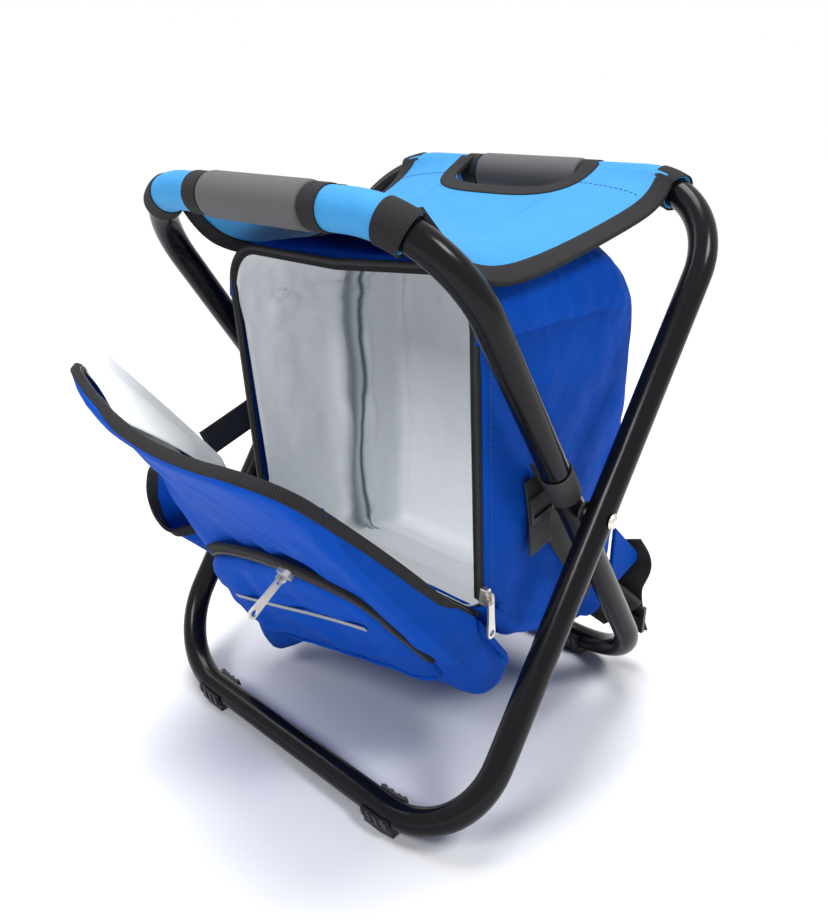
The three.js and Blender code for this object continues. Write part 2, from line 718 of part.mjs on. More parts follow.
// A zip tape's band round the left, top and right of the opening, at a depth in front of the hinge plane.
function rimTape(depth) {
  const outline = (gap) =>
    rounded(
      inset(
        [
          [-BAG_HALF, ZIP_END],
          [BAG_HALF, ZIP_END],
          [BAG_HALF, LID_TOP, BAG_CORNER],
          [-BAG_HALF, LID_TOP, BAG_CORNER],
        ],
        [gap > 0 ? -TAPE_WIDTH : 0, gap, gap, gap],
      ),
    );
  const slab = (gap, spare) => alongY(outline(gap), -depth - TAPE_THICKNESS - spare, -depth + spare);
  return slab(0, 0).subtract(slab(TAPE_WIDTH, TAPE_THICKNESS));
}

addPiece(rim, "bag_zip_tape", rimTape(FIT - RIM_BACK), BLACK_TAPE);

// The open lid's cloth hangs forward of its flat plane above the pocket, most near the middle of its top.
function bowed(solid) {
  const [high, low] = solid.splitByPlane([0, 0, 1], LID_BOW_START);
  const bent = high.refineToLength(LID_BOW_STEP).warp((point) => {
    const rise = THREE.MathUtils.clamp((point[2] - LID_BOW_START) / (LID_TOP - LID_BOW_START), 0, 1);
    const aside = THREE.MathUtils.clamp((point[0] - LID_BOW_X) / LID_BOW_REACH, -1, 1);
    point[1] -= LID_BOW * rise ** LID_BOW_CURVE * Math.cos((aside * Math.PI) / 2) ** 2;
  });
  return bent.add(low);
}
addPiece(lid, "lid_zip_tape", bowed(rimTape(LID_RIM - LID_SEAM - TAPE_THICKNESS)), BLACK_TAPE);

// Side profile of the lid in its own frame, as (y, z) with y = -depth: open back, top, front and bottom.
const LID_PROFILE = [
  [-LID_RIM, LID_LOW_BACK],
  [-LID_RIM, LID_TOP],
  [-LID_DEPTH_TOP, LID_TOP, LID_EDGE_ROUND],
  [-LID_DEPTH_LOW, LID_LOW, LID_BELLY_ROUND],
];
const lidOutline = (gap) =>
  rounded(
    inset(
      [
        [-BAG_HALF, LID_LOW, LID_LOW_CORNER],
        [BAG_HALF, LID_LOW, LID_LOW_CORNER],
        [BAG_HALF, LID_TOP, BAG_CORNER],
        [-BAG_HALF, LID_TOP, BAG_CORNER],
      ],
      [gap, gap, gap, gap],
    ),
  );

// The lid's whole form at a distance inside its outer skin, with its back plane at a given depth.
function lidForm(gap, back) {
  const profile = rounded(inset(LID_PROFILE, [back, gap, gap, gap]));
  return alongX(profile, -FAR, FAR).intersect(alongY(lidOutline(gap), -FAR, FAR));
}

// Everything behind the lid's front panel, as a prism across the whole width.
function behindFront(gap) {
  return alongX(rounded(inset(LID_PROFILE, [-FAR, -FAR, gap, -FAR])), -FAR, FAR);
}

const lidSkin = lidForm(0, 0);
addPiece(lid, "lid_front_panel", bowed(lidSkin.subtract(behindFront(PANEL))), BLUE_CLOTH);
const lidGusset = lidSkin.subtract(lidForm(PANEL, -PANEL)).intersect(behindFront(PANEL + LID_SEAM));
addPiece(lid, "lid_gusset", bowed(lidGusset), BLUE_CLOTH);
const liningSpace = lidForm(PANEL + LID_SEAM, HEM_THICKNESS + LINING_SETBACK);
const lidLining = liningSpace.subtract(lidForm(PANEL + LID_SEAM + LINING, -PANEL));

// The lining's left wall is longer than the lid: it stands up past the tape in a fold, and its free end lies
// back into the tray. The section runs from the wall over the crest to that end, at a share of the way down.
function foldSection(share) {
  const crest = LID_FOLD_CREST * (1 - 0.85 * share ** 3);
  const wall = BAG_HALF - PANEL - LID_SEAM - LINING / 2;
  const inTape = BAG_HALF - TAPE_WIDTH - 2 * LINING;
  const low = LID_RIM + HEM_THICKNESS;
  const height = LID_FOLD_TOP + (LID_FOLD_LOW - LID_FOLD_TOP) * share;
  return [
    [-wall, -low - LINING_SETBACK - LINING, height],
    [-inTape, -low, height],
    [-(LID_FOLD_X + inTape) / 2, 0.6 * crest, height],
    [-LID_FOLD_X, crest, height],
    [-LID_FOLD_X + 0.1 * LID_FOLD_WIDTH, 0.55 * crest, height],
    [-LID_FOLD_X + LID_FOLD_WIDTH * (1 - 0.7 * share), -low, height],
  ];
}

function lidFold() {
  const grain = ([x, y, z]) => wasm.Manifold.cube([LINING, LINING, LINING], true).translate([x, y, z]);
  const cells = [];
  for (let i = 0; i < LID_FOLD_STEPS; i++) {
    const [upper, lower] = [i, i + 1].map((k) => foldSection(k / LID_FOLD_STEPS).map(grain));
    for (let j = 1; j < upper.length; j++)
      cells.push(wasm.Manifold.hull([upper[j - 1], upper[j], lower[j - 1], lower[j]]));
  }
  return wasm.Manifold.union(cells);
}
addPiece(lid, "lid_lining", bowed(lidLining.add(lidFold())), SILVER_LINING);

// The hem that carries the lid on the hinge seam and closes its back below the opening.
function lidHem() {
  const half = BAG_HALF - PANEL - FIT;
  const space = lidForm(PANEL + FIT, 0);
  return space.intersect(box([-half, half], [-LID_RIM - HEM_THICKNESS, -LID_RIM], [LID_LOW, HEM_TOP]));
}
addPiece(lid, "lid_hem", lidHem(), BLUE_CLOTH);

// The front face's own frame: y points into the lid and z runs up the face.
const face = new THREE.Group();
face.position.y = -LID_FACE_AT_HINGE;
face.rotation.x = -LID_TAPER;
lid.add(face);

const POCKET_PROFILE = [
  [-FIT, POCKET_LOW],
  [-FIT, POCKET_TOP],
  [-POCKET_SHELF, POCKET_TOP - POCKET_SHELF_DROP, POCKET_SHELF_DROP],
  [-POCKET_BELLY, POCKET_LOW + POCKET_BELLY_HEIGHT, POCKET_BELLY_HEIGHT / 2],
];
const pocketOutline = (gap) =>
  rounded(
    inset(
      [
        [-POCKET_HALF, POCKET_LOW, POCKET_CORNER],
        [POCKET_HALF, POCKET_LOW, POCKET_CORNER],
        [POCKET_HALF, POCKET_TOP, POCKET_CORNER],
        [-POCKET_HALF, POCKET_TOP, POCKET_CORNER],
      ],
      [gap, gap, gap, gap],
    ),
  );

// A scoop that bulges from the lid's face: its back and its mouth along the zip are open.
function pocket() {
  const form = (gap) => {
    const profile = rounded(inset(POCKET_PROFILE, [-gap, gap, gap, gap]));
    return alongX(profile, -FAR, FAR).intersect(alongY(pocketOutline(gap), -FAR, FAR));
  };
  const mouthHalf = POCKET_HALF - POCKET_CORNER;
  const mouth = box([-mouthHalf, mouthHalf], [-POCKET_MOUTH, FAR], [POCKET_TOP - POCKET_SHELF_DROP, FAR]);
  return form(0).subtract(form(POCKET_WALL)).subtract(mouth);
}
addPiece(face, "front_pocket", pocket(), BLUE_CLOTH);

// The pocket's zip lies on the lid's face: along the pocket's top, round its right corner and down that side.
function pocketTape() {
  const layer = [-FIT - TAPE_THICKNESS, -FIT];
  const band = alongY(pocketOutline(-POCKET_TAPE_WIDTH), ...layer);
  const ring = band.subtract(alongY(pocketOutline(-FIT), -FAR, FAR));
  const start = -POCKET_HALF + POCKET_CORNER;
  return ring.subtract(box([-FAR, start], ALL, ALL)).subtract(box(ALL, ALL, [-FAR, POCKET_TAPE_LOW]));
}
addPiece(face, "pocket_zip_tape", pocketTape(), BLACK_TAPE);

// The reflective strip lies on the pocket's face, a little below its shelf.
function reflectiveStrip() {
  const [top, low] = POCKET_PROFILE.slice(2);
  const along = new THREE.Vector2(low[0] - top[0], low[1] - top[1]).normalize();
  const out = new THREE.Vector2(along.y, -along.x);
  const start = along.clone().multiplyScalar(STRIP_DROP).add(new THREE.Vector2(top[0], top[1]));
  const corner = (down, away) =>
    start.clone().addScaledVector(along, down).addScaledVector(out, FIT + away);
  const section = [
    corner(0, 0),
    corner(STRIP_HEIGHT, 0),
    corner(STRIP_HEIGHT, STRIP_THICKNESS),
    corner(0, STRIP_THICKNESS),
  ];
  return alongX(section, -STRIP_HALF, STRIP_HALF);
}
addPiece(face, "reflective_strip", reflectiveStrip(), REFLECTIVE);

// Outline of the side pouch in the lid's (y, z): floor, front, slanting mouth and back.
const POUCH_PROFILE = [
  [-POUCH_FRONT, POUCH_LOW, POUCH_ROUND],
  [-POUCH_BACK, POUCH_LOW, POUCH_ROUND],
  [-POUCH_BACK, POUCH_HIGH_BACK],
  [-POUCH_FRONT, POUCH_HIGH_FRONT],
];

function pouchShell(mouthGap) {
  const outer = rounded(inset(POUCH_PROFILE, [0, 0, mouthGap, 0]));
  const hollow = rounded(inset(POUCH_PROFILE, [POUCH_WALL, POUCH_WALL, -FAR, POUCH_WALL]));
  const wall = -BAG_HALF - FIT;
  const shell = alongX(outer, wall - POUCH_OUT, wall);
  return shell.subtract(alongX(hollow, wall - POUCH_OUT + POUCH_WALL, wall + FAR));
}

// The mouth's binding is the shell's own top edge, cut off below by a plane that follows the slanting mouth.
function pouchBinding() {
  const sharp = POUCH_PROFILE.map(([y, z]) => [y, z]);
  const below = rounded(inset(sharp, [-FAR, -FAR, BINDING - FIT, -FAR]));
  return pouchShell(0).subtract(alongX(below, -FAR, FAR));
}
addPiece(lid, "side_pouch", pouchShell(BINDING), BLUE_CLOTH);
addPiece(lid, "side_pouch_binding", pouchBinding(), BLACK_TAPE);

// A zip slider in its own frame: the zip runs along X, the face is +Z, and a crown holds the pull's pin.
const PIN_HEIGHT = SLIDER_HEIGHT + CROWN_HEIGHT / 2;
function slider() {
  const [length, width] = [SLIDER_LENGTH / 2, SLIDER_WIDTH / 2];
  const plan = rounded([
    [-length, -width * 0.6, 1],
    [length * 0.3, -width, 2],
    [length, -width * 0.7, 1],
    [length, width * 0.7, 1],
    [length * 0.3, width, 2],
    [-length, width * 0.6, 1],
  ]);
  const crown = rounded([
    [-CROWN_LENGTH / 2, SLIDER_HEIGHT - 1],
    [CROWN_LENGTH / 2, SLIDER_HEIGHT - 1],
    [CROWN_LENGTH / 2, SLIDER_HEIGHT + CROWN_HEIGHT, CROWN_HEIGHT / 2],
    [-CROWN_LENGTH / 2, SLIDER_HEIGHT + CROWN_HEIGHT, CROWN_HEIGHT / 2],
  ]);
  const arch = alongY(crown, -CROWN_THICKNESS / 2, CROWN_THICKNESS / 2);
  const eye = pinRod(PULL_PIN_RADIUS + PULL_PIN_PLAY, SLIDER_WIDTH);
  return alongZ(plan, 0, SLIDER_HEIGHT).add(arch).subtract(eye);
}

// A round bar along Y at the pull's pin.
function pinRod(radius, half) {
  const geometry = new THREE.CylinderGeometry(radius, radius, 2 * half, 10);
  return solidOf(geometry).translate([0, 0, PIN_HEIGHT]);
}

// The pull hangs along +X from its pin: two arms beside the crown, then a tapering plate with a hole.
function pull() {
  const half = PULL_WIDTH / 2;
  const slot = CROWN_THICKNESS / 2 + FIT;
  const neck = CROWN_LENGTH / 2 + 2 * FIT;
  const plate = rounded([
    [-PULL_PIN_RADIUS, -half * 0.75, 0.6],
    [PULL_LENGTH * 0.4, -half * 0.75, 2],
    [PULL_LENGTH, -half, half * 0.9],
    [PULL_LENGTH, half, half * 0.9],
    [PULL_LENGTH * 0.4, half * 0.75, 2],
    [-PULL_PIN_RADIUS, half * 0.75, 0.6],
  ]);
  const hole = circle(PULL_HOLE_RADIUS, TUBE_SIDES).map(
    ([u, v]) => new THREE.Vector2(u + PULL_LENGTH - half - 0.4, v),
  );
  const [low, high] = [PIN_HEIGHT - PULL_THICKNESS / 2, PIN_HEIGHT + PULL_THICKNESS / 2];
  const blank = alongZ(plate, low, high).subtract(alongZ(hole, 0, FAR));
  const gap = box([-FAR, neck], [-slot, slot], ALL);
  return blank.subtract(gap).add(pinRod(PULL_PIN_RADIUS, half * 0.7));
}

// The main slider sits outside the right end of the zip with its face to the side, and its pull hangs down.
const mainSlider = new THREE.Group();
mainSlider.position.set(BAG_HALF + FIT, 0, ZIP_END + SLIDER_LENGTH / 2);
mainSlider.rotation.set(0, Math.PI / 2, 0);
rim.add(mainSlider);
addPiece(mainSlider, "main_zip_slider", slider(), BRIGHT_STEEL);
addPiece(mainSlider, "main_zip_pull", pull(), BRIGHT_STEEL);

// The pocket's slider sits on its zip with its face out from the lid, and its pull hangs straight out.
const pocketSlider = new THREE.Group();
const tapeTop = FIT + TAPE_THICKNESS;
pocketSlider.position.set(POCKET_SLIDER_X, -tapeTop - FIT, POCKET_TOP + FIT + POCKET_TAPE_WIDTH / 2);
pocketSlider.rotation.set(Math.PI / 2, 0, 0);
face.add(pocketSlider);
addPiece(pocketSlider, "pocket_zip_slider", slider(), BRIGHT_STEEL);
const hangingPull = new THREE.Group();
hangingPull.position.set(PIN_HEIGHT, 0, PIN_HEIGHT);
hangingPull.rotation.y = -Math.PI / 2;
pocketSlider.add(hangingPull);
addPiece(hangingPull, "pocket_zip_pull", pull(), BRIGHT_STEEL);

// A flat band in (y, z) from one point to another, as an outline.
function bandOutline([y0, z0], [y1, z1], width) {
  const across = new THREE.Vector2(-(z1 - z0), y1 - y0).setLength(width / 2);
  return [
    new THREE.Vector2(y0 + across.x, z0 + across.y),
    new THREE.Vector2(y0 - across.x, z0 - across.y),
    new THREE.Vector2(y1 - across.x, z1 - across.y),
    new THREE.Vector2(y1 + across.x, z1 + across.y),
  ];
}

// The side tie: a band sewn on the bag's side panel, aimed at the pivot.
const tieIn = BAG_HALF + FIT;
const tieOut = tieIn + WEB_THICKNESS;
function sideTie() {
  return alongX(bandOutline(TIE_REAR, TIE_FRONT, WEB_WIDTH), tieIn, tieOut);
}

// The tie's loop round the inner tube, above the pivot, with a tongue to the bag's side and a free tail.
const tailIn = tieOut + FIT;
const tailOut = tailIn + WEB_THICKNESS;
function tieLoop() {
  const end = TIE_LOOP_START + WEB_WIDTH;
  const inner = TUBE_RADIUS + FIT;
  const middle = (TIE_LOOP_START + end) / 2;
  const ring = (radius, spare) => {
    const drum = new THREE.CylinderGeometry(radius, radius, WEB_WIDTH + spare, TUBE_SIDES);
    return solidOf(drum.rotateX(Math.PI / 2)).translate([INNER_HALF, 0, middle]);
  };
  const toeY = -TIE_TAIL_DROP * Math.sin(TIE_TAIL_TURN);
  const toe = [toeY, middle - TIE_TAIL_DROP * Math.cos(TIE_TAIL_TURN)];
  const tail = alongX(bandOutline([0, middle], toe, WEB_WIDTH), tailIn, tailOut);
  const tongue = box(
    [tailIn, INNER_HALF - TUBE_RADIUS],
    [-WEB_THICKNESS, WEB_THICKNESS],
    [TIE_LOOP_START, end],
  );
  return ring(inner + TIE_LOOP_WALL, 0).add(tongue).add(tail).subtract(ring(inner, WEB_WIDTH));
}

// The slide buckle lies on the tail beside the tongue.
function tieBuckle() {
  const middle = TIE_LOOP_START + WEB_WIDTH / 2;
  const from = [-BUCKLE_LENGTH / 2, middle - WEB_WIDTH / 2];
  const along = (distance) => [
    -Math.sin(TIE_TAIL_TURN) * distance - WEB_THICKNESS - FIT,
    from[1] - Math.cos(TIE_TAIL_TURN) * distance,
  ];
  const outline = (spare) =>
    bandOutline(along(spare), along(BUCKLE_LENGTH - spare), WEB_WIDTH + 2 * BUCKLE_OVERHANG - 2 * spare);
  const plate = alongX(outline(0), tailOut + FIT, tailOut + FIT + BUCKLE_THICKNESS);
  const slot = alongX(
    bandOutline(along(BUCKLE_LENGTH * 0.6), along(BUCKLE_LENGTH * 0.8), WEB_WIDTH),
    tailOut,
    tailOut + FAR,
  );
  return plate.subtract(slot);
}

for (const [word, side] of SIDES) {
  addPiece(stool, `side_tie_${word}`, sided(sideTie(), side), BLACK_TAPE);
  addPiece(innerLoop, `side_tie_loop_${word}`, sided(tieLoop(), side), BLACK_TAPE);
  addPiece(innerLoop, `tie_buckle_${word}`, sided(tieBuckle(), side), BLACK_PLASTIC);
}

// A flat ribbon along a smooth path; its broad side faces the given direction.
function ribbon(points, width, thickness, facing) {
  const path = new THREE.CatmullRomCurve3(points.map((point) => new THREE.Vector3(...point)));
  const stations = Array.from({ length: STRAP_STEPS + 1 }, (_, i) => {
    const point = path.getPoint(i / STRAP_STEPS);
    const along = path.getTangent(i / STRAP_STEPS);
    const a = new THREE.Vector3(...facing).cross(along).normalize();
    return { point, a, b: along.clone().cross(a) };
  });
  const [u, v] = [width / 2, thickness / 2];
  return sweep([[-u, -v], [u, -v], [u, v], [-u, v]], stations);
}

const backOff = BAG_REAR + FIT + STRAP_THICKNESS / 2;
const adjusterPlace = [STRAP_LOW_X, BAG_REAR + STRAP_LOW_REACH, STRAP_LOW_Z];

// The ladder lock is a plate with two long slots and three bars.
function adjuster() {
  const [x, y, z] = adjusterPlace;
  const [w, t, h] = [ADJUSTER_WIDTH / 2, ADJUSTER_THICKNESS / 2, ADJUSTER_HEIGHT / 2];
  const plate = box([x - w, x + w], [y - t, y + t], [z - h, z + h]);
  const slotHeight = (ADJUSTER_HEIGHT - 3 * ADJUSTER_BAR) / 2;
  const slot = (low) => box([x - w + ADJUSTER_BAR, x + w - ADJUSTER_BAR], ALL, [low, low + slotHeight]);
  const low = z - h + ADJUSTER_BAR;
  return plate.subtract(slot(low)).subtract(slot(low + slotHeight + ADJUSTER_BAR));
}

// The padded strap runs down the back from its top seam, then swings out to the adjuster's near face.
function shoulderStrap() {
  const [x, y, z] = adjusterPlace;
  const middleX = STRAP_TOP_X + (x - STRAP_TOP_X) * 0.2;
  const middleZ = (STRAP_TOP_Z + z) / 2;
  const path = [
    [STRAP_TOP_X, backOff, STRAP_TOP_Z],
    [middleX, backOff, middleZ],
    [STRAP_TOP_X + (x - STRAP_TOP_X) * 0.5, backOff + (y - backOff) * 0.35, z + (middleZ - z) * 0.3],
    [x, y, z],
  ];
  const strap = ribbon(path, STRAP_WIDTH, STRAP_THICKNESS, [0, 1, 0]);
  return strap.intersect(box(ALL, [BAG_REAR + FIT, y - ADJUSTER_THICKNESS / 2 - FIT], ALL));
}

function tab() {
  const corners = [
    new THREE.Vector2(BAG_REAR + FIT, TAB_LOW),
    new THREE.Vector2(BAG_REAR + TAB_REACH, TAB_TIP_Z - TAB_THICKNESS),
    new THREE.Vector2(BAG_REAR + TAB_REACH, TAB_TIP_Z + TAB_THICKNESS),
    new THREE.Vector2(BAG_REAR + FIT, TAB_TOP),
  ];
  return alongX(corners, BAG_HALF - TAB_THICKNESS, BAG_HALF);
}

// Webbing from the adjuster's far face up to the tab's tip.
function strapWebbing() {
  const [x, y, z] = adjusterPlace;
  const start = y + ADJUSTER_THICKNESS / 2 + FIT + WEB_THICKNESS / 2;
  const end = BAG_REAR + TAB_REACH + FIT + WEB_THICKNESS / 2;
  const path = [
    [x, start, z - ADJUSTER_HEIGHT / 2],
    [x, start, z + ADJUSTER_HEIGHT / 2],
    [BAG_HALF - TAB_THICKNESS, end, TAB_TIP_Z + TAB_THICKNESS],
  ];
  return ribbon(path, WEB_WIDTH, WEB_THICKNESS, [0, 1, 0]);
}

for (const [word, side] of SIDES) {
  addPiece(stool, `shoulder_strap_${word}`, sided(shoulderStrap(), side), BLACK_TAPE);
  addPiece(stool, `strap_adjuster_${word}`, sided(adjuster(), side), BLACK_PLASTIC);
  addPiece(stool, `strap_webbing_${word}`, sided(strapWebbing(), side), BLACK_TAPE);
  addPiece(stool, `strap_tab_${word}`, sided(tab(), side), BLUE_CLOTH);
}

export default stool;
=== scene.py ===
"""The looks of a folding cooler stool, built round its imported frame. Metres, X right, Y to the back, Z up."""

from math import pi

import bmesh
import bpy
import numpy as np
from mathutils import Matrix, Vector


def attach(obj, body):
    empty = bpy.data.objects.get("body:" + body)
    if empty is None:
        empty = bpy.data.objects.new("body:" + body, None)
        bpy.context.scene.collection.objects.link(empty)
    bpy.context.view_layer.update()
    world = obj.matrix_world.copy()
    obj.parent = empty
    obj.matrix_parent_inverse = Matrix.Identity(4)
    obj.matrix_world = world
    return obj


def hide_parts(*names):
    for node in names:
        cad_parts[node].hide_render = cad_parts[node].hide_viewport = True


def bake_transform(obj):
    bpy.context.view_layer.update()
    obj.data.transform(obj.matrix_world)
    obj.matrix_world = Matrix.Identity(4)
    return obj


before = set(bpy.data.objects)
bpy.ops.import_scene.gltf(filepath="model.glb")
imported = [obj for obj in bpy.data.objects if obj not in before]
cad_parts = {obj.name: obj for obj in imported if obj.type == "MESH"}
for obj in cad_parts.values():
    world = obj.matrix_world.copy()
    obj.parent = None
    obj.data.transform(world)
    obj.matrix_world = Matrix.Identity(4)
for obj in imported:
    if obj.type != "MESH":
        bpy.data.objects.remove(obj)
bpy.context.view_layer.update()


# The room: a matt white board with a painted shadow under the stool and white all round, lit by a broad soft
# sun overhead and three soft boxes.
# The camera stands where the photograph was taken from.
EYE = (0.40709, -0.43925, 0.45183)
HEADING, DIP, TILT = 0.74933886, 0.39946769, 0.00358989
FILL = 0.16
FLOOR_HALF, SHADOW_RADIUS = 30.0, 0.17
scene = bpy.context.scene
scene.view_settings.view_transform = "Standard"
camera = bpy.data.objects.new("camera", bpy.data.cameras.new("camera"))
camera.data.lens = 33.327
camera.data.sensor_width = 36.0
camera.data.clip_start = 0.01
camera.matrix_world = (
    Matrix.Translation(EYE)
    @ Matrix.Rotation(HEADING, 4, "Z")
    @ Matrix.Rotation(pi / 2 - DIP, 4, "X")
    @ Matrix.Rotation(TILT, 4, "Z")
)
scene.collection.objects.link(camera)
scene.camera = camera


class Shade:
    """A socket in a node tree. Arithmetic on it adds Math nodes, and node() adds any other node."""

    def __init__(self, tree, socket=None):
        self.tree, self.socket = tree, socket

    def feed(self, socket, value):
        """Links a Shade to the socket, or sets the socket to a plain value."""
        if isinstance(value, Shade):
            self.tree.links.new(value.socket, socket)
        else:
            socket.default_value = value

    def node(self, kind, settings=None, inputs=None, out=0):
        """Adds a node, sets it, feeds its sockets and gives one of its outputs."""
        made = self.tree.nodes.new(kind)
        for name, value in (settings or {}).items():
            setattr(made, name, value)
        for key, value in (inputs or {}).items():
            self.feed(made.inputs[key], value)
        return Shade(self.tree, made.outputs[out])

    def math(self, operation, *values):
        """A Math node's operation on the values."""
        return self.node("ShaderNodeMath", {"operation": operation}, dict(enumerate(values)))

    def __add__(self, other):
        return self.math("ADD", self, other)

    def __sub__(self, other):
        return self.math("SUBTRACT", self, other)

    def __rsub__(self, other):
        return self.math("SUBTRACT", other, self)

    def __mul__(self, other):
        return self.math("MULTIPLY", self, other)

    def __truediv__(self, other):
        return self.math("DIVIDE", self, other)

    def __rtruediv__(self, other):
        return self.math("DIVIDE", other, self)

    def __pow__(self, other):
        return self.math("POWER", self, other)

    __radd__, __rmul__ = __add__, __mul__

    def wave(self, period):
        """A sine between 0 and 1 that repeats at each period."""
        return self.math("SINE", self * (2 * pi / period)) * 0.5 + 0.5

    def bell(self, width):
        """1 where the value is 0, fading to nothing some widths either side."""
        return self.math("EXPONENT", 0 - (self / width) ** 2)

    def place(self, out="Object"):
        """The piece's own coordinates, or with out="UV" its UV map."""
        return self.node("ShaderNodeTexCoord", out=out)

    def split(self, vector, count):
        """The first parts of a vector."""
        return [self.node("ShaderNodeSeparateXYZ", {}, {0: vector}, k) for k in range(count)]

    def noise(self, vector, scale, detail=3.0):
        """Soft noise between 0 and 1, with scale lumps to a metre."""
        return self.node("ShaderNodeTexNoise", {}, {"Vector": vector, "Scale": scale, "Detail": detail})

    def mix(self, factor, a, b):
        """Colour a where factor is 0, and b where it is 1."""
        return self.node("ShaderNodeMix", {"data_type": "RGBA"}, {0: factor, 6: a, 7: b}, 2)

    def bump(self, height, distance, strength=1.0):
        """A normal bent by a height between 0 and 1 that stands for distance metres."""
        inputs = {"Strength": strength, "Distance": distance, "Height": height}
        return self.node("ShaderNodeBump", {}, inputs)


def material(name, look):
    """A Principled material. look takes a Shade and returns the inputs to set, by name."""
    made = bpy.data.materials.new(name)
    made.use_nodes = True
    start = Shade(made.node_tree)
    shader = made.node_tree.nodes["Principled BSDF"]
    for key, value in look(start).items():
        start.feed(shader.inputs[key], value)
    return made


world = bpy.data.worlds.new("world")
world.use_nodes = True
scene.world = world
sky = Shade(world.node_tree)
seen = sky.node("ShaderNodeLightPath", out="Is Camera Ray")
mirrored = sky.node("ShaderNodeLightPath", out="Is Glossy Ray")
through = sky.node("ShaderNodeLightPath", out="Is Transmission Ray")
shown = sky.math("MAXIMUM", sky.math("MAXIMUM", seen, mirrored), through)
sky.feed(world.node_tree.nodes["Background"].inputs["Color"], (1.0, 1.0, 1.0, 1.0))
sky.feed(world.node_tree.nodes["Background"].inputs["Strength"], shown * (1 - FILL) + FILL)


def lamp(name, kind, place, aim, energy, **settings):
    """A lamp at place that points at aim."""
    data = bpy.data.lights.new(name, kind)
    data.energy = energy
    for key, value in settings.items():
        setattr(data, key, value)
    made = bpy.data.objects.new(name, data)
    away = Vector(place) - Vector(aim)
    made.matrix_world = Matrix.Translation(place) @ away.to_track_quat("Z", "Y").to_matrix().to_4x4()
    scene.collection.objects.link(made)


lamp("key", "SUN", (-0.25, 0.2, 1.6), (0.0, 0.0, 0.2), 2.9, angle=0.6)
lamp("front_box", "AREA", (0.1, -1.35, 1.35), (0.0, 0.0, 0.22), 15.0, size=0.5)
lamp("left_box", "AREA", (-1.1, -0.4, 1.4), (0.0, 0.0, 0.2), 3.0, size=0.5)
lamp("right_box", "AREA", (1.15, 0.1, 1.6), (0.0, 0.0, 0.2), 17.0, size=0.45)


def surface(name, points, look, closed=(False, False)):
    """A mesh of quads through points[i, j], or one such grid for each of points[k].

    closed says whether i and j run round onto their start. The UV map is in metres: the mean distances
    along i and j. Points that coincide are merged, so a row drawn to one point makes a pole.
    """
    grids = points if points.ndim == 4 else points[None]
    count, n, m = grids.shape[:3]
    i, j = np.meshgrid(np.arange(n - 1 + closed[0]), np.arange(m - 1 + closed[1]), indexing="ij")
    rows, columns = np.stack([i, i + 1, i + 1, i], -1), np.stack([j, j, j + 1, j + 1], -1)
    corners = (rows % n) * m + columns % m
    faces = (np.arange(count)[:, None, None, None] * n * m + corners[None]).reshape(-1, 4)
    mesh = bpy.data.meshes.new(name)
    mesh.from_pydata(grids.reshape(-1, 3).tolist(), [], faces.tolist())
    ring = np.concatenate([grids[0], grids[0][:1]])
    down = np.linalg.norm(np.diff(ring, axis=0), axis=-1).mean(1)
    ring = np.concatenate([grids[0], grids[0][:, :1]], 1)
    over = np.linalg.norm(np.diff(ring, axis=1), axis=-1).mean(0)
    u, v = np.concatenate([[0], np.cumsum(down)]), np.concatenate([[0], np.cumsum(over)])
    uv = np.tile(np.stack([u[rows], v[columns]], -1).reshape(-1), count)
    mesh.uv_layers.new(name="UVMap").data.foreach_set("uv", uv)
    build = bmesh.new()
    build.from_mesh(mesh)
    bmesh.ops.remove_doubles(build, verts=build.verts, dist=1e-6)
    bmesh.ops.recalc_face_normals(build, faces=build.faces)
    build.to_mesh(mesh)
    build.free()
    mesh.shade_smooth()
    mesh.materials.append(look)
    made = bpy.data.objects.new(name, mesh)
    scene.collection.objects.link(made)
    return made


def floor_look(s):
    """Matt white board with a painted blue-grey shadow where the stool stands."""
    x, y = s.split(s.place(), 2)
    # Painted shadow: the board turns blue-grey in a soft round patch under the stool.
    painted_shadow = s.math("EXPONENT", 0 - (x * x + y * y) / SHADOW_RADIUS**2)
    pale, grey = (0.95, 0.95, 0.955, 1.0), (0.52, 0.55, 0.63, 1.0)
    return {"Base Color": s.mix(painted_shadow, pale, grey), "Specular IOR Level": 0.0}


board = material("floor", floor_look)
spread = np.linspace(-FLOOR_HALF, FLOOR_HALF, 3)
floor_points = np.stack(np.meshgrid(spread, spread, [0.0], indexing="ij"), -1)[:, :, 0]
floor = surface("floor", floor_points, board)


# The two tube loops: 19 mm steel tube bent round four corners and painted gloss black.
# They cross at the pivot; the outer loop leans back at the top and the inner loop leans forward.
PIVOT = 0.207
LEAN = 0.59459
LOOP_HALF = 0.23298
BEND = 0.064
TUBE = 0.0095
OUTER, INNER = 0.1605, 0.1391


def lengths(path):
    """Distance along a line of points, from 0 at its first point."""
    steps = np.linalg.norm(np.diff(path, axis=0), axis=-1)
    return np.concatenate([[0.0], np.cumsum(steps)])


def loop_line(half_width):
    """Half of a loop's centre line: distance from the top bar's middle, x, height and heading.

    It is half a rectangle with rounded corners, laid out as straights and quarter turns. The heading is the
    angle of its outward side from up.
    """
    turn = np.linspace(0, pi / 2, 24)
    flat, tall = half_width - BEND, LOOP_HALF - BEND
    x = np.concatenate([[0], flat + BEND * np.sin(turn), flat + BEND * np.cos(turn), [0]])
    upper, lower = tall + BEND * np.cos(turn), -tall - BEND * np.sin(turn)
    height = np.concatenate([[LOOP_HALF], upper, lower, [-LOOP_HALF]])
    heading = np.concatenate([[0], turn, pi / 2 + turn, [pi]])
    return lengths(np.stack([x, height], -1)), x, height, heading


def in_loop(lean, x, height, out):
    """Points of a loop's plane in the room: height runs up the plane from the pivot, out along its normal."""
    y = out * np.cos(lean) - height * np.sin(lean)
    return np.stack([x + 0 * y, y, PIVOT + height * np.cos(lean) + out * np.sin(lean)], -1)


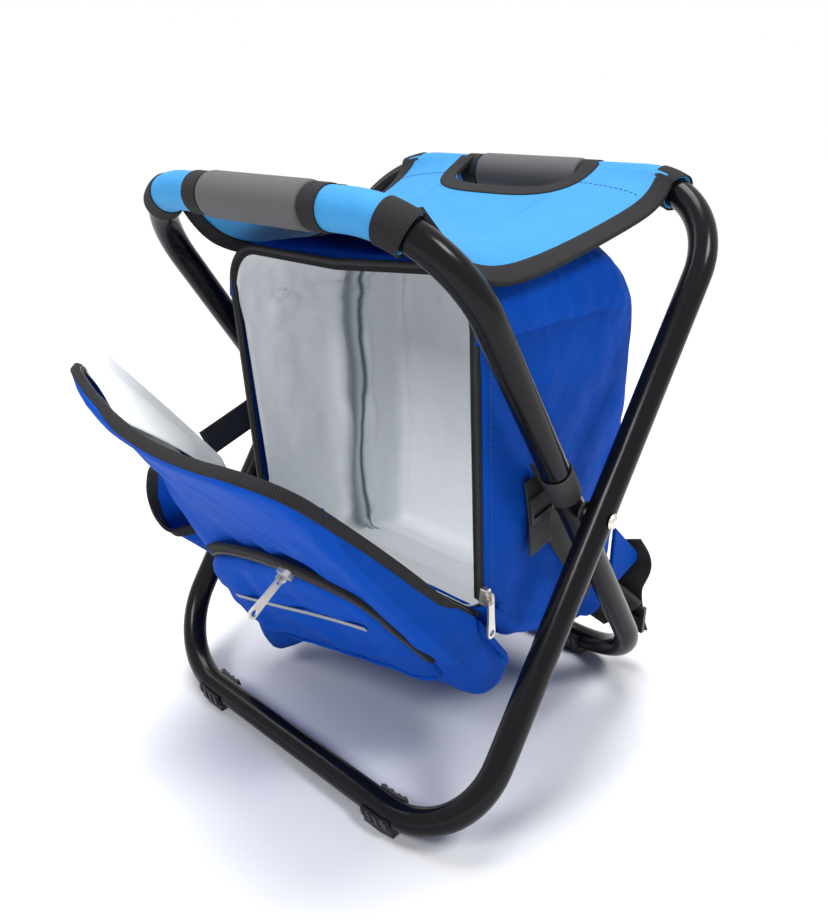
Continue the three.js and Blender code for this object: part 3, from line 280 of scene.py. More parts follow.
def round_bar(half_width, lean, walk, radius, around):
    """Points round a loop's centre line, at the distances walk from the top bar's middle (left is negative).

    The point lies at radius from the centre line, at the angle around from the loop's outward side.
    """
    along, x, height, heading = loop_line(half_width)
    far, side = np.abs(walk), np.where(walk < 0, -1.0, 1.0)
    angle = np.interp(far, along, heading)
    reach = radius * np.cos(around)
    across = side * (np.interp(far, along, x) + reach * np.sin(angle))
    up = np.interp(far, along, height) + reach * np.cos(angle)
    return in_loop(lean, across, up, radius * np.sin(around))


def paint_look(s):
    """Gloss black paint with a faint grain."""
    grain = s.noise(s.place(), 700.0)
    return {
        "Base Color": (0.004, 0.004, 0.0055, 1.0),
        "Roughness": grain * 0.06 + 0.16,
        "Specular IOR Level": 0.15,
        "Normal": s.bump(grain, 0.00002),
    }


paint = material("black_paint", paint_look)
around = np.linspace(0, 2 * pi, 36, endpoint=False)
for name, half_width, lean in (("outer_frame", OUTER, -LEAN), ("inner_frame", INNER, LEAN)):
    end = loop_line(half_width)[0][-1]
    walk = np.linspace(-end, end, 480, endpoint=False)[:, None]
    tube = surface(name + "_paint", round_bar(half_width, lean, walk, TUBE, around), paint, (True, True))
    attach(tube, name)
    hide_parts(name + "_tube")


# Hard small parts keep their own solids: rivets, joiners, sliders and pulls of bright plated steel, and feet,
# washers, buckles and adjusters of black moulded plastic.
BRIGHT = ("rivet", "joiner", "slider", "pull")
MOULDED = ("foot", "washer", "buckle", "adjuster")


def steel_look(s):
    """Bright plated steel, duller along fine scratches."""
    scratch = s.noise(s.place(), 260.0, 6.0)
    return {"Base Color": (0.62, 0.59, 0.53, 1.0), "Metallic": 1.0, "Roughness": scratch * 0.25 + 0.24}


def plastic_look(s):
    """Black moulded plastic with a fine grain."""
    grain = s.noise(s.place(), 1100.0)
    return {
        "Base Color": (0.014, 0.014, 0.015, 1.0),
        "Roughness": grain * 0.15 + 0.38,
        "Normal": s.bump(grain, 0.00006),
    }


steel, plastic = material("bright_steel", steel_look), material("black_plastic", plastic_look)
for name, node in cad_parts.items():
    bright = any(word in name for word in BRIGHT)
    if bright or any(word in name for word in MOULDED):
        node.data.materials.clear()
        node.data.materials.append(steel if bright else plastic)


# The two grips: grey foam tubes on the middle of each top bar.
# Each is pushed on before the bar's two ends are joined, and its own squeeze holds it there.
GRIP_HALF, GRIP, GRIP_EDGE = 0.046, 0.0138, 0.003
CLEAR = 0.0002


def cover(name, bar, start, end, inner, outer, edge, look):
    """A hollow cover round a top bar from start to end, its outer rims rounded by edge.

    bar is (half width, lean). The wall's cut runs out along its outside and back along its inside.
    """
    turn = np.linspace(0, pi / 2, 6)
    along = np.linspace(start + edge, end - edge, 40)
    back, dip = edge * (1 - np.sin(turn)), edge * (1 - np.cos(turn))
    out = np.concatenate([start + back[::-1], along[1:-1], end - back])
    rise = outer - np.concatenate([dip[::-1], 0 * along[1:-1], dip])
    walk = np.concatenate([out, along[::-1]])[:, None]
    radius = np.concatenate([rise, 0 * along + inner])[:, None]
    return surface(name, round_bar(*bar, walk, radius, around), look, (True, True))


def foam_look(s):
    """Grey foam of fine cells, some paler and some darker."""
    cells = s.noise(s.place(), 1500.0, 2.0)
    return {
        "Base Color": s.mix(cells, (0.045, 0.046, 0.049, 1.0), (0.085, 0.087, 0.092, 1.0)),
        "Roughness": 0.72,
        "Normal": s.bump(cells, 0.0003, 0.6),
    }


foam = material("grip_foam", foam_look)
BARS = {"front": (INNER, LEAN), "rear": (OUTER, -LEAN)}
BODY = {"front": "inner_frame", "rear": "outer_frame"}
for place, bar in BARS.items():
    grip = cover(place + "_foam", bar, -GRIP_HALF, GRIP_HALF, TUBE + CLEAR, GRIP, GRIP_EDGE, foam)
    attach(grip, BODY[place])
    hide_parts(place + "_grip")


# The four sleeves: ends of the sling's blue polyester, sewn round the top bars on both sides of each grip.
# A ring of black ribbed tape binds each end.
def cloth_look(colour, shine):
    """Woven polyester: two crossing sets of threads about a millimetre apart, darker in the gaps."""

    def look(s):
        u, v = s.split(s.place("UV"), 2)
        weave = u.wave(0.0011) * v.wave(0.0011)
        shade = s.noise(s.place(), 45.0, 4.0)
        dark = tuple(0.7 * part for part in colour) + (1.0,)
        return {
            "Base Color": s.mix(weave * 0.5 + shade * 0.5, dark, colour + (1.0,)),
            "Roughness": 0.62,
            "Specular IOR Level": shine,
            "Normal": s.bump(weave + shade * 0.6, 0.00025, 0.7),
        }

    return look


def tape_look(s):
    """Ribbed tape: fine cross ribs with a smooth edge."""
    (u,) = s.split(s.place("UV"), 1)
    ribs = u.wave(0.0013)
    return {
        "Base Color": s.mix(ribs, (0.004, 0.004, 0.005, 1.0), (0.014, 0.014, 0.016, 1.0)),
        "Roughness": 0.8,
        "Specular IOR Level": 0.25,
        "Normal": s.bump(ribs, 0.0003, 0.8),
    }


# The seat's cloth is the bag's blue polyester painted lighter, standing in for the light that falls on its top.
lit_seat_cloth = material("lit_seat_cloth", cloth_look((0.05, 0.325, 0.7), 0.2))
bag_cloth = material("bag_cloth", cloth_look((0.0005, 0.072, 0.48), 0.06))
tape = material("black_tape", tape_look)
SLEEVE, SLEEVE_EDGE = 0.0121, 0.001
SLEEVE_START, SLEEVE_END = 0.0468, {"front": 0.111, "rear": 0.124}
INNER_RING, OUTER_RING = (0.0466, 0.0606), (0.001, -0.016)
RING_SUNK, RING_PROUD, RING_EDGE = 0.0004, 0.0009, 0.0006
for place, bar in BARS.items():
    flat = bar[0] - BEND
    reach = flat + BEND * np.arcsin((SLEEVE_END[place] - flat) / BEND)
    for word, side in (("left", -1), ("right", 1)):
        name = f"{place}_{word}_sleeve"
        ends = sorted([side * SLEEVE_START, side * reach])
        sleeve = cover(name + "_cloth", bar, *ends, TUBE + CLEAR, SLEEVE, SLEEVE_EDGE, lit_seat_cloth)
        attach(sleeve, BODY[place])
        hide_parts(f"{place}_sleeve_{word}")
        for k, ring in enumerate((INNER_RING, [reach + step for step in OUTER_RING])):
            ends = sorted(side * end for end in ring)
            band = (SLEEVE - RING_SUNK, SLEEVE + RING_PROUD, RING_EDGE)
            binding = cover(f"{name}_tape_{k}", bar, *ends, *band, tape)
            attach(binding, BODY[place])


# The sling seat: one panel of the same blue polyester hung from bar to bar, with a U cut out round each grip.
# Black tape binds its edges, and rows of stitches close its sleeves.
SEAT_HALF = 0.1235
BEHIND, LIFT = 0.0075, 0.0098
MIDDLE_SAG, LEFT_SAG = 0.035, 0.018
WING_DROP, WING_REACH, WING_SLOPE = 0.0172, 0.045, 0.0325


def seat_sheet(x, share):
    """The sling at x, at a share of the way from the front bar (0) to the rear bar (1).

    Its middle hangs as a parabola. Its wings drop at once behind the front bar, slope up slowly towards
    the rear one and rise steeply over the last of the way; the left one sags more.
    """
    ends = []
    for half_width, lean in BARS.values():
        flat = half_width - BEND
        drop = BEND - np.sqrt(BEND**2 - np.clip(np.abs(x) - flat, 0, None) ** 2)
        ends.append(in_loop(lean, x, LOOP_HALF - drop, 0 * x))
    front = ends[0] + np.array([0, BEHIND, LIFT])
    rear = ends[1] + np.array([0, -BEHIND, LIFT])
    share = np.clip(share, 0, 1)
    middle = MIDDLE_SAG * 4 * share * (1 - share) * (1.2 - 0.35 * share)
    left = 1 - share
    wing = (WING_DROP * (1 - np.exp(-left / WING_REACH)) + WING_SLOPE * left) * (1 - left**8)
    wing = wing + np.where(x < 0, LEFT_SAG, 0.0) * np.sin(pi * share) ** 1.5
    hang = middle + (wing - middle) * np.clip(np.abs(x) / SEAT_HALF, 0, 1) ** 3
    sheet = front + (rear - front) * share[..., None]
    sheet[..., 2] -= hang
    return sheet


CUT_HALF, CUT_SHARE, CUT_POWER = 0.0525, 0.155, 3.2


def cut_share(x):
    """How far the cut-out reaches at x, as a share of the way between the bars: a rounded U about a grip."""
    inside = np.clip(1 - np.abs(x / CUT_HALF) ** CUT_POWER, 0, 1)
    return CUT_SHARE * inside ** (1 / CUT_POWER)


def crowded(start, end, count):
    """Values from start to end that crowd together towards both."""
    return start + (end - start) * (1 - np.cos(np.linspace(0, pi, count))) / 2


def narrowed(x, share):
    """The sling's x, drawn in beside the front cut-out to the sleeves' ends at the front bar."""
    beside = np.clip(np.abs(x) - CUT_HALF, 0, None)
    drawn = (SEAT_HALF - SLEEVE_END["front"]) / (SEAT_HALF - CUT_HALF) * np.clip(1 - share / 0.16, 0, 1) ** 2
    return x - np.sign(x) * beside * drawn


def thicken(piece, thickness, offset=-1.0):
    """Gives an open sheet its thickness; offset -1 grows it inward."""
    solid = piece.modifiers.new("thickness", "SOLIDIFY")
    solid.thickness = thickness
    solid.offset = offset
    return piece


hem = SEAT_HALF - 0.004
parts = [crowded(-hem, -CUT_HALF, 26), crowded(-CUT_HALF, CUT_HALF, 50), crowded(CUT_HALF, hem, 26)]
across = np.concatenate([parts[0][:-1], parts[1], parts[2][1:]])
share = np.linspace(0, 1, 90)
first = cut_share(across)
share = first[None] + (1 - 2 * first[None]) * share[:, None]
seat_points = seat_sheet(narrowed(np.broadcast_to(across, share.shape), share), share)
seat = thicken(surface("seat_sling", seat_points, lit_seat_cloth), 0.002, 0.0)
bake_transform(seat)
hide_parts("seat_panel")


def unit(vectors):
    """Vectors divided by their lengths."""
    return vectors / np.linalg.norm(vectors, axis=-1, keepdims=True)


def strap(name, path, facing, half, thick, look, power=0.3):
    """A flat strap: a rounded oblong carried along a path, 2 half wide and thick deep, flat to facing.

    The oblong is a superellipse; power 1 makes it round. half and thick may differ from point to point. Both
    ends are closed.
    """
    along = unit(np.gradient(path, axis=0))
    wide = unit(np.cross(along, facing))
    deep = np.cross(wide, along)
    turn = np.linspace(0, 2 * pi, 24, endpoint=False)
    a = np.asarray(half)[..., None] * np.sign(np.cos(turn)) * np.abs(np.cos(turn)) ** power
    b = np.asarray(thick)[..., None] / 2 * np.sign(np.sin(turn)) * np.abs(np.sin(turn)) ** power
    rings = path[:, None] + a[..., None] * wide[:, None] + b[..., None] * deep[:, None]
    ends = np.repeat(path[[0, -1], None], len(turn), 1)
    return surface(name, np.concatenate([ends[:1], rings, ends[1:]]), look, (False, True))


def seat_normals(x, share):
    """Upward normals of the sling, from small steps across it and along it."""
    step = 1e-4
    over = seat_sheet(x + step, share) - seat_sheet(x - step, share)
    down = seat_sheet(x, share + step) - seat_sheet(x, share - step)
    return unit(np.cross(over, down))


def beads(name, path, facing, size, pitch, look):
    """Small rounded blocks along a path, pitch apart; size is (along, across, up) with up towards facing."""
    walk = lengths(path)
    even = np.arange(pitch / 2, walk[-1], pitch)
    centre = np.stack([np.interp(even, walk, path[:, k]) for k in range(3)], -1)
    up = np.stack([np.interp(even, walk, np.broadcast_to(facing, path.shape)[:, k]) for k in range(3)], -1)
    along = unit(np.gradient(centre, axis=0))
    over = unit(np.cross(up, along))
    axes = np.stack([along, over, np.cross(along, over)], 1) * np.array(size)[None, :, None] / 2
    lat, lon = np.linspace(-pi / 2, pi / 2, 6)[:, None], np.linspace(0, 2 * pi, 10, endpoint=False)[None]
    ball = np.stack([np.cos(lat) * np.cos(lon), np.cos(lat) * np.sin(lon), np.sin(lat) + 0 * lon], -1)
    ball = np.sign(ball) * np.abs(ball) ** 0.7
    return surface(name, centre[:, None, None] + np.einsum("ijc,kcd->kijd", ball, axes), look, (False, True))


TAPE_HALF, TAPE_DEEP, TAPE_PAST = 0.0065, 0.0042, 0.001
seat_edges = {}
for word, side in (("left", -1), ("right", 1)):
    share = crowded(0.004, 0.992, 120)
    x = np.full(120, side * (SEAT_HALF - TAPE_HALF + TAPE_PAST))
    seat_edges[word + "_wing"] = (narrowed(x, share), share)
bound_half = CUT_HALF + TAPE_HALF - TAPE_PAST
x = crowded(-bound_half, bound_half, 120)
bottom = (CUT_SHARE + 0.024) * np.clip(1 - np.abs(x / bound_half) ** CUT_POWER, 0, 1) ** (1 / CUT_POWER)
seat_edges["front_cut"] = (x, bottom)
seat_edges["rear_cut"] = (x, 1 - bottom)
for word, (x, share) in seat_edges.items():
    edge = strap(
        f"seat_{word}_tape", seat_sheet(x, share), seat_normals(x, share), TAPE_HALF, TAPE_DEEP, tape
    )
    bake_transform(edge)


def thread_look(s):
    """Twisted thread: fine slanting turns of a darker blue than the cloth."""
    u, v = s.split(s.place("UV"), 2)
    turns = (u + v).wave(0.0006)
    return {"Base Color": s.mix(turns, (0.004, 0.05, 0.2, 1.0), (0.01, 0.11, 0.38, 1.0)), "Roughness": 0.6}


thread = material("blue_thread", thread_look)
STITCH, STITCH_PITCH = (0.0027, 0.0006, 0.0005), 0.004
for place, share in (("front", 0.1), ("rear", 0.91)):
    for word, side in (("left", -1), ("right", 1)):
        x = narrowed(side * np.linspace(0.062, 0.109, 40), share)
        share_row = np.full(40, share)
        up = seat_normals(x, share_row)
        path = seat_sheet(x, share_row) + 0.0012 * up
        row = beads(f"seat_{place}_{word}_stitches", path, up, STITCH, STITCH_PITCH, thread)
        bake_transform(row)


# The bag: an insulated box of blue polyester, sewn as one soft shell with a rounded back and a floor that
# slopes up to the front. It hangs from the inner loop by two ties.
def rounded(corners, spacing):
    """A line through corners (a, b, radius), with an arc at each inner one and points about spacing apart."""
    parts = [np.array(corners[0][:2])[None]]
    for before, corner, after in zip(corners, corners[1:], corners[2:]):
        here, radius = np.array(corner[:2]), corner[2]
        back, on = unit(np.array(before[:2]) - here), unit(np.array(after[:2]) - here)
        half = np.arccos(np.clip(back @ on, -1, 1)) / 2
        middle = here + unit(back + on) * radius / np.sin(half)
        start, end = here + back * radius / np.tan(half), here + on * radius / np.tan(half)
        share = np.linspace(0, 1, 14)[:, None]
        chord = unit((start - middle) * (1 - share) + (end - middle) * share)
        parts.append(middle + chord * radius)
    parts.append(np.array(corners[-1][:2])[None])
    line = np.concatenate(parts)
    along = lengths(line)
    even = np.linspace(0, along[-1], int(along[-1] / spacing) + 1)
    return np.stack([np.interp(even, along, line[:, k]) for k in (0, 1)], -1)


def inward(line, distance):
    """The line moved to its right-hand side by distance."""
    run = unit(np.gradient(line, axis=0))
    return line + distance * np.stack([run[:, 1], -run[:, 0]], -1)


def mouth_line(line):
    """The straight edge between a profile's ends, point for point, held a little clear of both."""
    clear = 0.06 * (line[-1] - line[0])
    return np.linspace(line[0] + clear, line[-1] - clear, len(line))


def shell(line, mouth, half, edge, spacing):
    """An open box wrapped from one side profile: grid of (x, a, b).

    line is the profile (a, b) from the mouth's top edge round to its bottom edge, and mouth the straight edge
    between its ends, point for point. The grid runs over the left wall from the mouth to the profile, turns
    an edge of that radius, crosses to the right wall and runs back to the mouth.
    """
    turn = np.linspace(0, pi / 2, 6 + int(edge / spacing))
    wall = np.linspace(1, 0, int(0.12 / spacing))[:-1]
    over = np.linspace(-half + edge, half - edge, int(2 * half / spacing))[1:-1]
    aside, above = edge * (1 - np.cos(turn)), edge * (1 - np.sin(turn))
    x = np.concatenate([0 * wall - half, -half + aside, over, half - aside[::-1], 0 * wall + half])
    inset = np.concatenate([0 * wall + edge, above, 0 * over, above[::-1], 0 * wall + edge])
    ruled = np.concatenate([wall, 0 * turn, 0 * over, 0 * turn, wall[::-1]])
    moved = np.stack([inward(line, d) for d in inset], 1)
    flat = moved + (mouth[:, None] - moved) * ruled[None, :, None]
    return np.concatenate([np.broadcast_to(x[None, :, None], flat.shape[:2] + (1,)), flat], -1)


def ripple(a, b, seed, longest):
    """Soft uneven folds about 1 high: twelve sine waves of random direction, length and phase, added up."""
    random = np.random.default_rng(seed)
    angle, phase = random.uniform(0, 2 * pi, (2, 12))
    rate = 2 * pi / (longest * random.uniform(0.25, 1.0, 12))
    waves = np.sin(rate * (a[..., None] * np.cos(angle) + b[..., None] * np.sin(angle)) + phase)
    return waves.sum(-1) / np.sqrt(12)


def pushed(points, amount):
    """A grid moved along its outward normals by amount."""
    down, over = np.gradient(points, axis=0), np.gradient(points, axis=1)
    normal = np.cross(down, over)
    normal /= np.linalg.norm(normal, axis=-1, keepdims=True) + 1e-12
    outward = np.sign(np.sum(normal * (points - points.mean((0, 1))), -1).mean())
    return points + normal * outward * amount[..., None]


BAG_HALF, BAG_TOP, BAG_CORNER = 0.117, 0.361, 0.036
BAG_SIDE = [
    (-0.0746, BAG_TOP, 0),
    (0.105, BAG_TOP, 0.048),
    (0.105, 0.062, 0.02),
    (-0.026, 0.105, 0.02),
    (-0.0585, 0.141, 0),
]
BAG_WALL, BAG_LIFT = 0.003, 0.011


def drawn_up(points):
    """The bag's points, with its top right drawn up by a centimetre."""
    x, y, z = np.moveaxis(points, -1, 0)
    return np.stack([x, y, z + BAG_LIFT * np.clip(x / BAG_HALF, 0, 1) * np.clip((z - 0.28) / 0.08, 0, 1)], -1)


def bag_skin(inset, spacing, edge=0.012, seam=0.3):
    """The bag's shell, moved inward by inset, its top corners rounded by drawing in what lies above seam."""
    side = inward(rounded(BAG_SIDE, spacing), inset)
    points = shell(side, mouth_line(side), BAG_HALF - inset, edge, spacing)
    corner = BAG_CORNER - inset
    reach = np.clip(np.abs(points[..., 0]) - (BAG_HALF - BAG_CORNER), 0, corner)
    top = BAG_TOP - BAG_CORNER + np.sqrt(np.clip(corner**2 - reach**2, 0, None))
    z = points[..., 2]
    points[..., 2] = np.where(z > seam, seam + (z - seam) * (top - seam) / (BAG_TOP - inset - seam), z)
    return drawn_up(points)


points = bag_skin(0.0, 0.004)
x, y, z = np.moveaxis(points, -1, 0)
deep = np.clip((y + 0.06) / 0.05, 0, 1) * np.clip((0.11 - y) / 0.03, 0, 1) * np.where(x < -0.1, 0.2, 1.0)
folds = 0.0016 * ripple(y + 3 * x, z, 4, 0.13) + 0.0008 * ripple(y, z + x, 5, 0.05)
bag = thicken(surface("bag_shell", pushed(points, deep * folds), bag_cloth), BAG_WALL)
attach(bag, "bag")
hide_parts(*[f"bag_{word}_panel" for word in ("top", "back", "left", "right", "bottom")])


# The bag's lining: silver-grey film over thin foam, folded into the bag's corners and sewn in at its mouth.
# It is creased all over, and gathered in deep pleats beside its back left corner.
FILM = 0.0006
PLEATS = ((0.009, -0.074, 0.007), (0.008, -0.044, 0.005), (0.005, 0.016, 0.005))


def film_look(s):
    """Silver-grey film, with blue-grey painted shade in the gathers at its back left and along its floor's
    seam.
    """
    crease = s.noise(s.place(), 60.0, 5.0)
    fine = s.noise(s.place(), 420.0, 3.0)
    x, y, z = s.split(s.place(), 3)
    # Painted shade: the film darkens to blue-grey in the gathers at the back left and along the floor's back
    # seam, where shade falls.
    off = y - 0.037 + z.wave(0.13) * 0.005
    gather_shade = s.math("MINIMUM", off.bell(0.0085) * 0.75 + (off - 0.0125).bell(0.0022), 1.0)
    gather_shade = gather_shade * s.math("LESS_THAN", x, -0.09) * s.math("GREATER_THAN", z, 0.09)
    seam_shade = (z - 0.073).bell(0.0016) * s.math("GREATER_THAN", y, 0.06)
    gather_shade = s.math("MAXIMUM", gather_shade, seam_shade * 0.55)
    pale = s.mix(crease, (0.85, 0.88, 0.91, 1.0), (0.93, 0.95, 0.97, 1.0))
    return {
        "Base Color": s.mix(gather_shade, pale, (0.11, 0.15, 0.2, 1.0)),
        "Roughness": crease * 0.2 + 0.36,
        "Specular IOR Level": 0.4,
        "Normal": s.bump(crease * 0.8 + fine * 0.2, 0.0008, 0.35),
    }


film = material("silver_film", film_look)


def pleat(distance, width):
    """A sharp ridge: 1 at distance 0, fading to nothing either side."""
    return np.exp(-np.abs(distance) / width)


points = bag_skin(0.0065, 0.0035)
x, y, z = np.moveaxis(points, -1, 0)
inside = np.clip((y + 0.066) / 0.03, 0, 1)
points[..., 1] += 0.0012 * (1 - inside)
tuck = np.clip((-0.035 - y) / 0.015, 0, 1) * np.clip((0.17 - z) / 0.02, 0, 1)
points = points - tuck[..., None] * np.array([0.0, 0.007, 0.003])
left, back = x + 0.1105, 0.0985 - y
past = left - back + 0.004 * np.sin(z / 0.037) + 0.0015 * np.sin(z / 0.011)
folds = sum(tall * pleat(past - line, width) for tall, line, width in PLEATS)
folds = folds * np.clip((0.05 - np.minimum(left, back)) / 0.03, 0, 1) * np.clip((z - 0.07) / 0.04, 0, 1)
creases = 0.0014 * np.abs(ripple(y + 0.3 * z, 0.5 * z, 8, 0.16)) + 0.0006 * np.abs(ripple(x - y, z, 9, 0.06))
high = np.clip((z - 0.27) / 0.06, 0, 1) * np.where(x < -0.05, 1.0, 0.3)
creases = creases + 0.003 * high * np.abs(ripple(y, z, 12, 0.06))
lining = thicken(surface("bag_film", pushed(points, -inside * (creases + folds)), film), FILM, 0.0)
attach(lining, "bag")
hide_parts("bag_lining")


# The zip: black tape with fine black teeth, one half sewn round the bag's opening and the other round the
# lid's rim, where the tape also wraps the edge. The two halves meet when the lid closes.
HINGE = np.array([-0.061, 0.141])
RIM_LEAN, LID_LEAN = 0.073304, 0.736529
LID_TOP = 0.22059
BOW, BOW_FALL, BOW_MIDDLE, BOW_REACH, RIGHT_BOW = 0.026, 0.034, 0.034, 0.151, 0.007
BAND_INSET, BAND_DEPTH, BAND_OUT = 0.004, 0.00125, 0.0026
TOOTH, TOOTH_PITCH, TOOTH_DEPTH = (0.0009, 0.0032, 0.0012), 0.0014, 0.0002


def on_lean(lean, x, v, d):
    """Points of a plane through the hinge seam that leans forward: v up the plane, d in front of it."""
    y = HINGE[0] - v * np.sin(lean) - d * np.cos(lean)
    return np.stack([x + 0 * y, y, HINGE[1] + v * np.cos(lean) - d * np.sin(lean)], -1)


def lid_bow(x, v):
    """How far the open lid's cloth hangs in front of its flat plane.

    Most right of the middle of its top edge, behind the plane at its top left corner, and a little all down
    its right side.
    """
    rise = np.clip((v - 0.06) / (LID_TOP - 0.06), 0, 1) ** 1.5
    right = RIGHT_BOW * (1 - rise) * np.clip(v / 0.05, 0, 1) * np.clip(x / BAG_HALF, 0, 1) ** 2
    return rise * (BOW - BOW_FALL * ((x - BOW_MIDDLE) / BOW_REACH) ** 2) + right


def rim_line(inset):
    """The opening's edge (x, v), from its lower left round the top to its lower right, drawn in by inset."""
    half, top = BAG_HALF - inset, LID_TOP - inset
    corner = BAG_CORNER - inset
    return rounded([(-half, 0.012, 0), (-half, top, corner), (half, top, corner), (half, 0.012, 0)], 0.002).T


def zip_path(body, inset, depth, out=0.0):
    """A line of the zip on the bag or the lid, drawn in by inset, and how far the tape wraps the edge there.

    The tape wraps the lid's right side and top, the top left only half, and stands out by out where it does.
    """
    x, v = rim_line(inset)
    if body == "bag":
        return drawn_up(on_lean(RIM_LEAN, x, v, depth)), 0 * x
    wrap = np.clip((x + 0.07) / 0.06, 0, 1) * np.clip((v - 0.02) / 0.04, 0, 1)
    wrap = np.maximum(wrap, 0.5 * np.clip((v - 0.12) / 0.04, 0, 1))
    return on_lean(LID_LEAN, x, v, depth + lid_bow(x, v) + out * wrap), wrap


zip_black = material("zip_teeth", lambda s: {"Base Color": (0.02, 0.02, 0.022, 1.0), "Roughness": 0.35})
for body, lean, side, tooth_inset in (("bag", RIM_LEAN, -1, 0.0028), ("lid", LID_LEAN, 1, 0.0052)):
    ahead = np.array([0, -np.cos(lean), -np.sin(lean)])
    path, wrap = zip_path(body, BAND_INSET, side * BAND_DEPTH, BAND_OUT)
    half, thick = 0.0036 + 0.0012 * wrap, 0.0019 + 0.0055 * wrap
    zip_band = strap(f"{body}_zip_band", path, ahead, half, thick, tape)
    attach(zip_band, body)
    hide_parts(f"{body}_zip_tape")
    path, wrap = zip_path(body, tooth_inset, side * TOOTH_DEPTH)
    zip_teeth = beads(f"{body}_zip_teeth", path, ahead, TOOTH, TOOTH_PITCH, zip_black)
    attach(zip_teeth, body)
for word, side in (("left", -1), ("right", 1)):
    v = np.linspace(0.02, 0.172, 60)
    path = on_lean(RIM_LEAN, side * (BAG_HALF + 0.0004) + 0 * v, v, -0.0095)
    row = beads(f"bag_{word}_rim_stitches", path, np.array([side, 0.0, 0.0]), STITCH, STITCH_PITCH, thread)
    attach(row, "bag")

SEAM_HALF = 0.1117
x = np.linspace(-SEAM_HALF, SEAM_HALF, 40)
seam_path = on_lean(RIM_LEAN, x, 0 * x, 0.0)
seam = strap("hinge_binding", seam_path, np.array([0, -1.0, 0]), 0.0022, 0.0044, tape, 1.0)
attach(seam, "bag")
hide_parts("hinge_seam")


# The lid: the bag's front, a thin padded wedge of the same blue polyester, hung open from the hinge seam and
# bowed by its weight. Its lining is white film, and a loose fold of it stands up along the left.
LID_MOUTH, LID_EDGE, LID_SEAM = 0.0025, 0.007, 0.15
LID_SIDE = [
    (LID_MOUTH, LID_TOP, 0),
    (0.0085, LID_TOP, 0.003),
    (0.0645, -0.073, 0.028),
    (0.008, -0.066, 0.012),
    (LID_MOUTH, -0.004, 0),
]
LID_TWIST, LID_DROOP, LID_THIN = 0.26, 0.036, 0.45
LID_WALL, LID_FILM_INSET = 0.0025, 0.0055


def lid_skin(inset, spacing):
    """The lid's shell as (x, depth, height), moved inward by inset: round top corners, level mouth."""
    side = inward(rounded(LID_SIDE, spacing), inset)
    points = shell(side, mouth_line(side), BAG_HALF - inset, LID_EDGE, spacing)
    x, d, v = np.moveaxis(points, -1, 0)
    corner = BAG_CORNER - inset
    reach = np.clip(np.abs(x) - (BAG_HALF - BAG_CORNER), 0, corner)
    top = LID_TOP - BAG_CORNER + np.sqrt(np.clip(corner**2 - reach**2, 0, None))
    drawn = LID_SEAM + (v - LID_SEAM) * (top - LID_SEAM) / (LID_TOP - inset - LID_SEAM)
    return x, np.maximum(d, LID_MOUTH), np.where(v > LID_SEAM, drawn, v)


def lid_room(x, d, v, droop=0.0):
    """Points of the lid in the room, with its bow.

    It is thin at its top left, its lower left hangs deeper than its lower right, and its lower left corner
    sags by droop.
    """
    thin = np.clip((-0.055 - x) / 0.045, 0, 1) * np.clip((v - 0.08) / 0.08, 0, 1)
    d = d * (1 - LID_THIN * thin)
    low = np.clip((0.2 - v) / 0.14, 0, 1)
    swell = -x / BAG_HALF - 1.15 * np.exp(-(((x + BAG_HALF) / 0.02) ** 2))
    points = on_lean(LID_LEAN, x, v, d * (1 + LID_TWIST * low * swell) + lid_bow(x, v))
    points[..., 2] -= droop * np.exp(-(((x + 0.094) / 0.04) ** 2)) * np.clip((-0.01 - v) / 0.04, 0, 1)
    return points


x, d, v = lid_skin(0.0, 0.004)
points = lid_room(x, d, v, LID_DROOP)
soft = np.clip((d - 0.006) / 0.01, 0, 1)
points = pushed(points, soft * (0.0012 * ripple(x, v + d, 21, 0.12) + 0.0006 * ripple(x, v - d, 22, 0.05)))
lid = thicken(surface("lid_shell", points, bag_cloth), LID_WALL)
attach(lid, "lid")
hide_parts("lid_front_panel", "lid_gusset", "lid_hem")


def white_look(s):
    """White film, duller along its creases."""
    crease = s.noise(s.place(), 70.0, 4.0)
    return {
        "Base Color": (0.88, 0.9, 0.92, 1.0),
        "Roughness": crease * 0.2 + 0.3,
        "Normal": s.bump(crease, 0.001, 0.5),
    }


white_film = material("white_film", white_look)
x, d, v = lid_skin(LID_FILM_INSET, 0.005)
points = lid_room(x, d, v)
lid_film = thicken(surface("lid_film", points, white_film), FILM, 0.0)
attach(lid_film, "lid")
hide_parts("lid_lining")

FOLD_TOP, FOLD_LONG, FOLD_TURN = 0.208, 0.15, 0.38


def film_fold(along, over):
    """Points of the loose fold, at a share down it and a share over it.

    It rises from the lid's left edge to its crest, turns there and runs back onto the lining.
    """
    v = FOLD_TOP - FOLD_LONG * along
    end_x, crest_x = -0.036 - 0.045 * along, -0.1 + 0.004 * along
    steps = np.interp(over, [0, 0.22, 0.3, FOLD_TURN], [0, 0.75, 0.9, 1])
    rising_x = crest_x - 0.0125 * (1 - steps)
    falling_x = crest_x + (end_x - crest_x) * (over - FOLD_TURN) / (1 - FOLD_TURN)
    x = np.where(over < FOLD_TURN, rising_x, falling_x)
    crest = np.interp(along, [0, 0.02, 0.05, 0.5, 0.85, 1], [0.0, 0.013, 0.0165, 0.0135, 0.01, 0.001])
    fall = np.interp(over, [0, 0.2, 0.27, 0.32, FOLD_TURN, 0.45, 1], [0, 0.6, 0.95, 1, 0.93, 0.62, 0])
    d = (lid_bow(x, v) + 0.004) * np.clip(over / 0.3, 0, 1) * (1 - fall) - crest * fall
    return on_lean(LID_LEAN, x, v, d)


points = film_fold(*np.meshgrid(np.linspace(0, 1, 80), np.linspace(0, 1, 50), indexing="ij"))
flap = surface("lid_film_fold", points, white_film)
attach(thicken(flap, 0.0007, 0.0), "lid")
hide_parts("lid_lining")


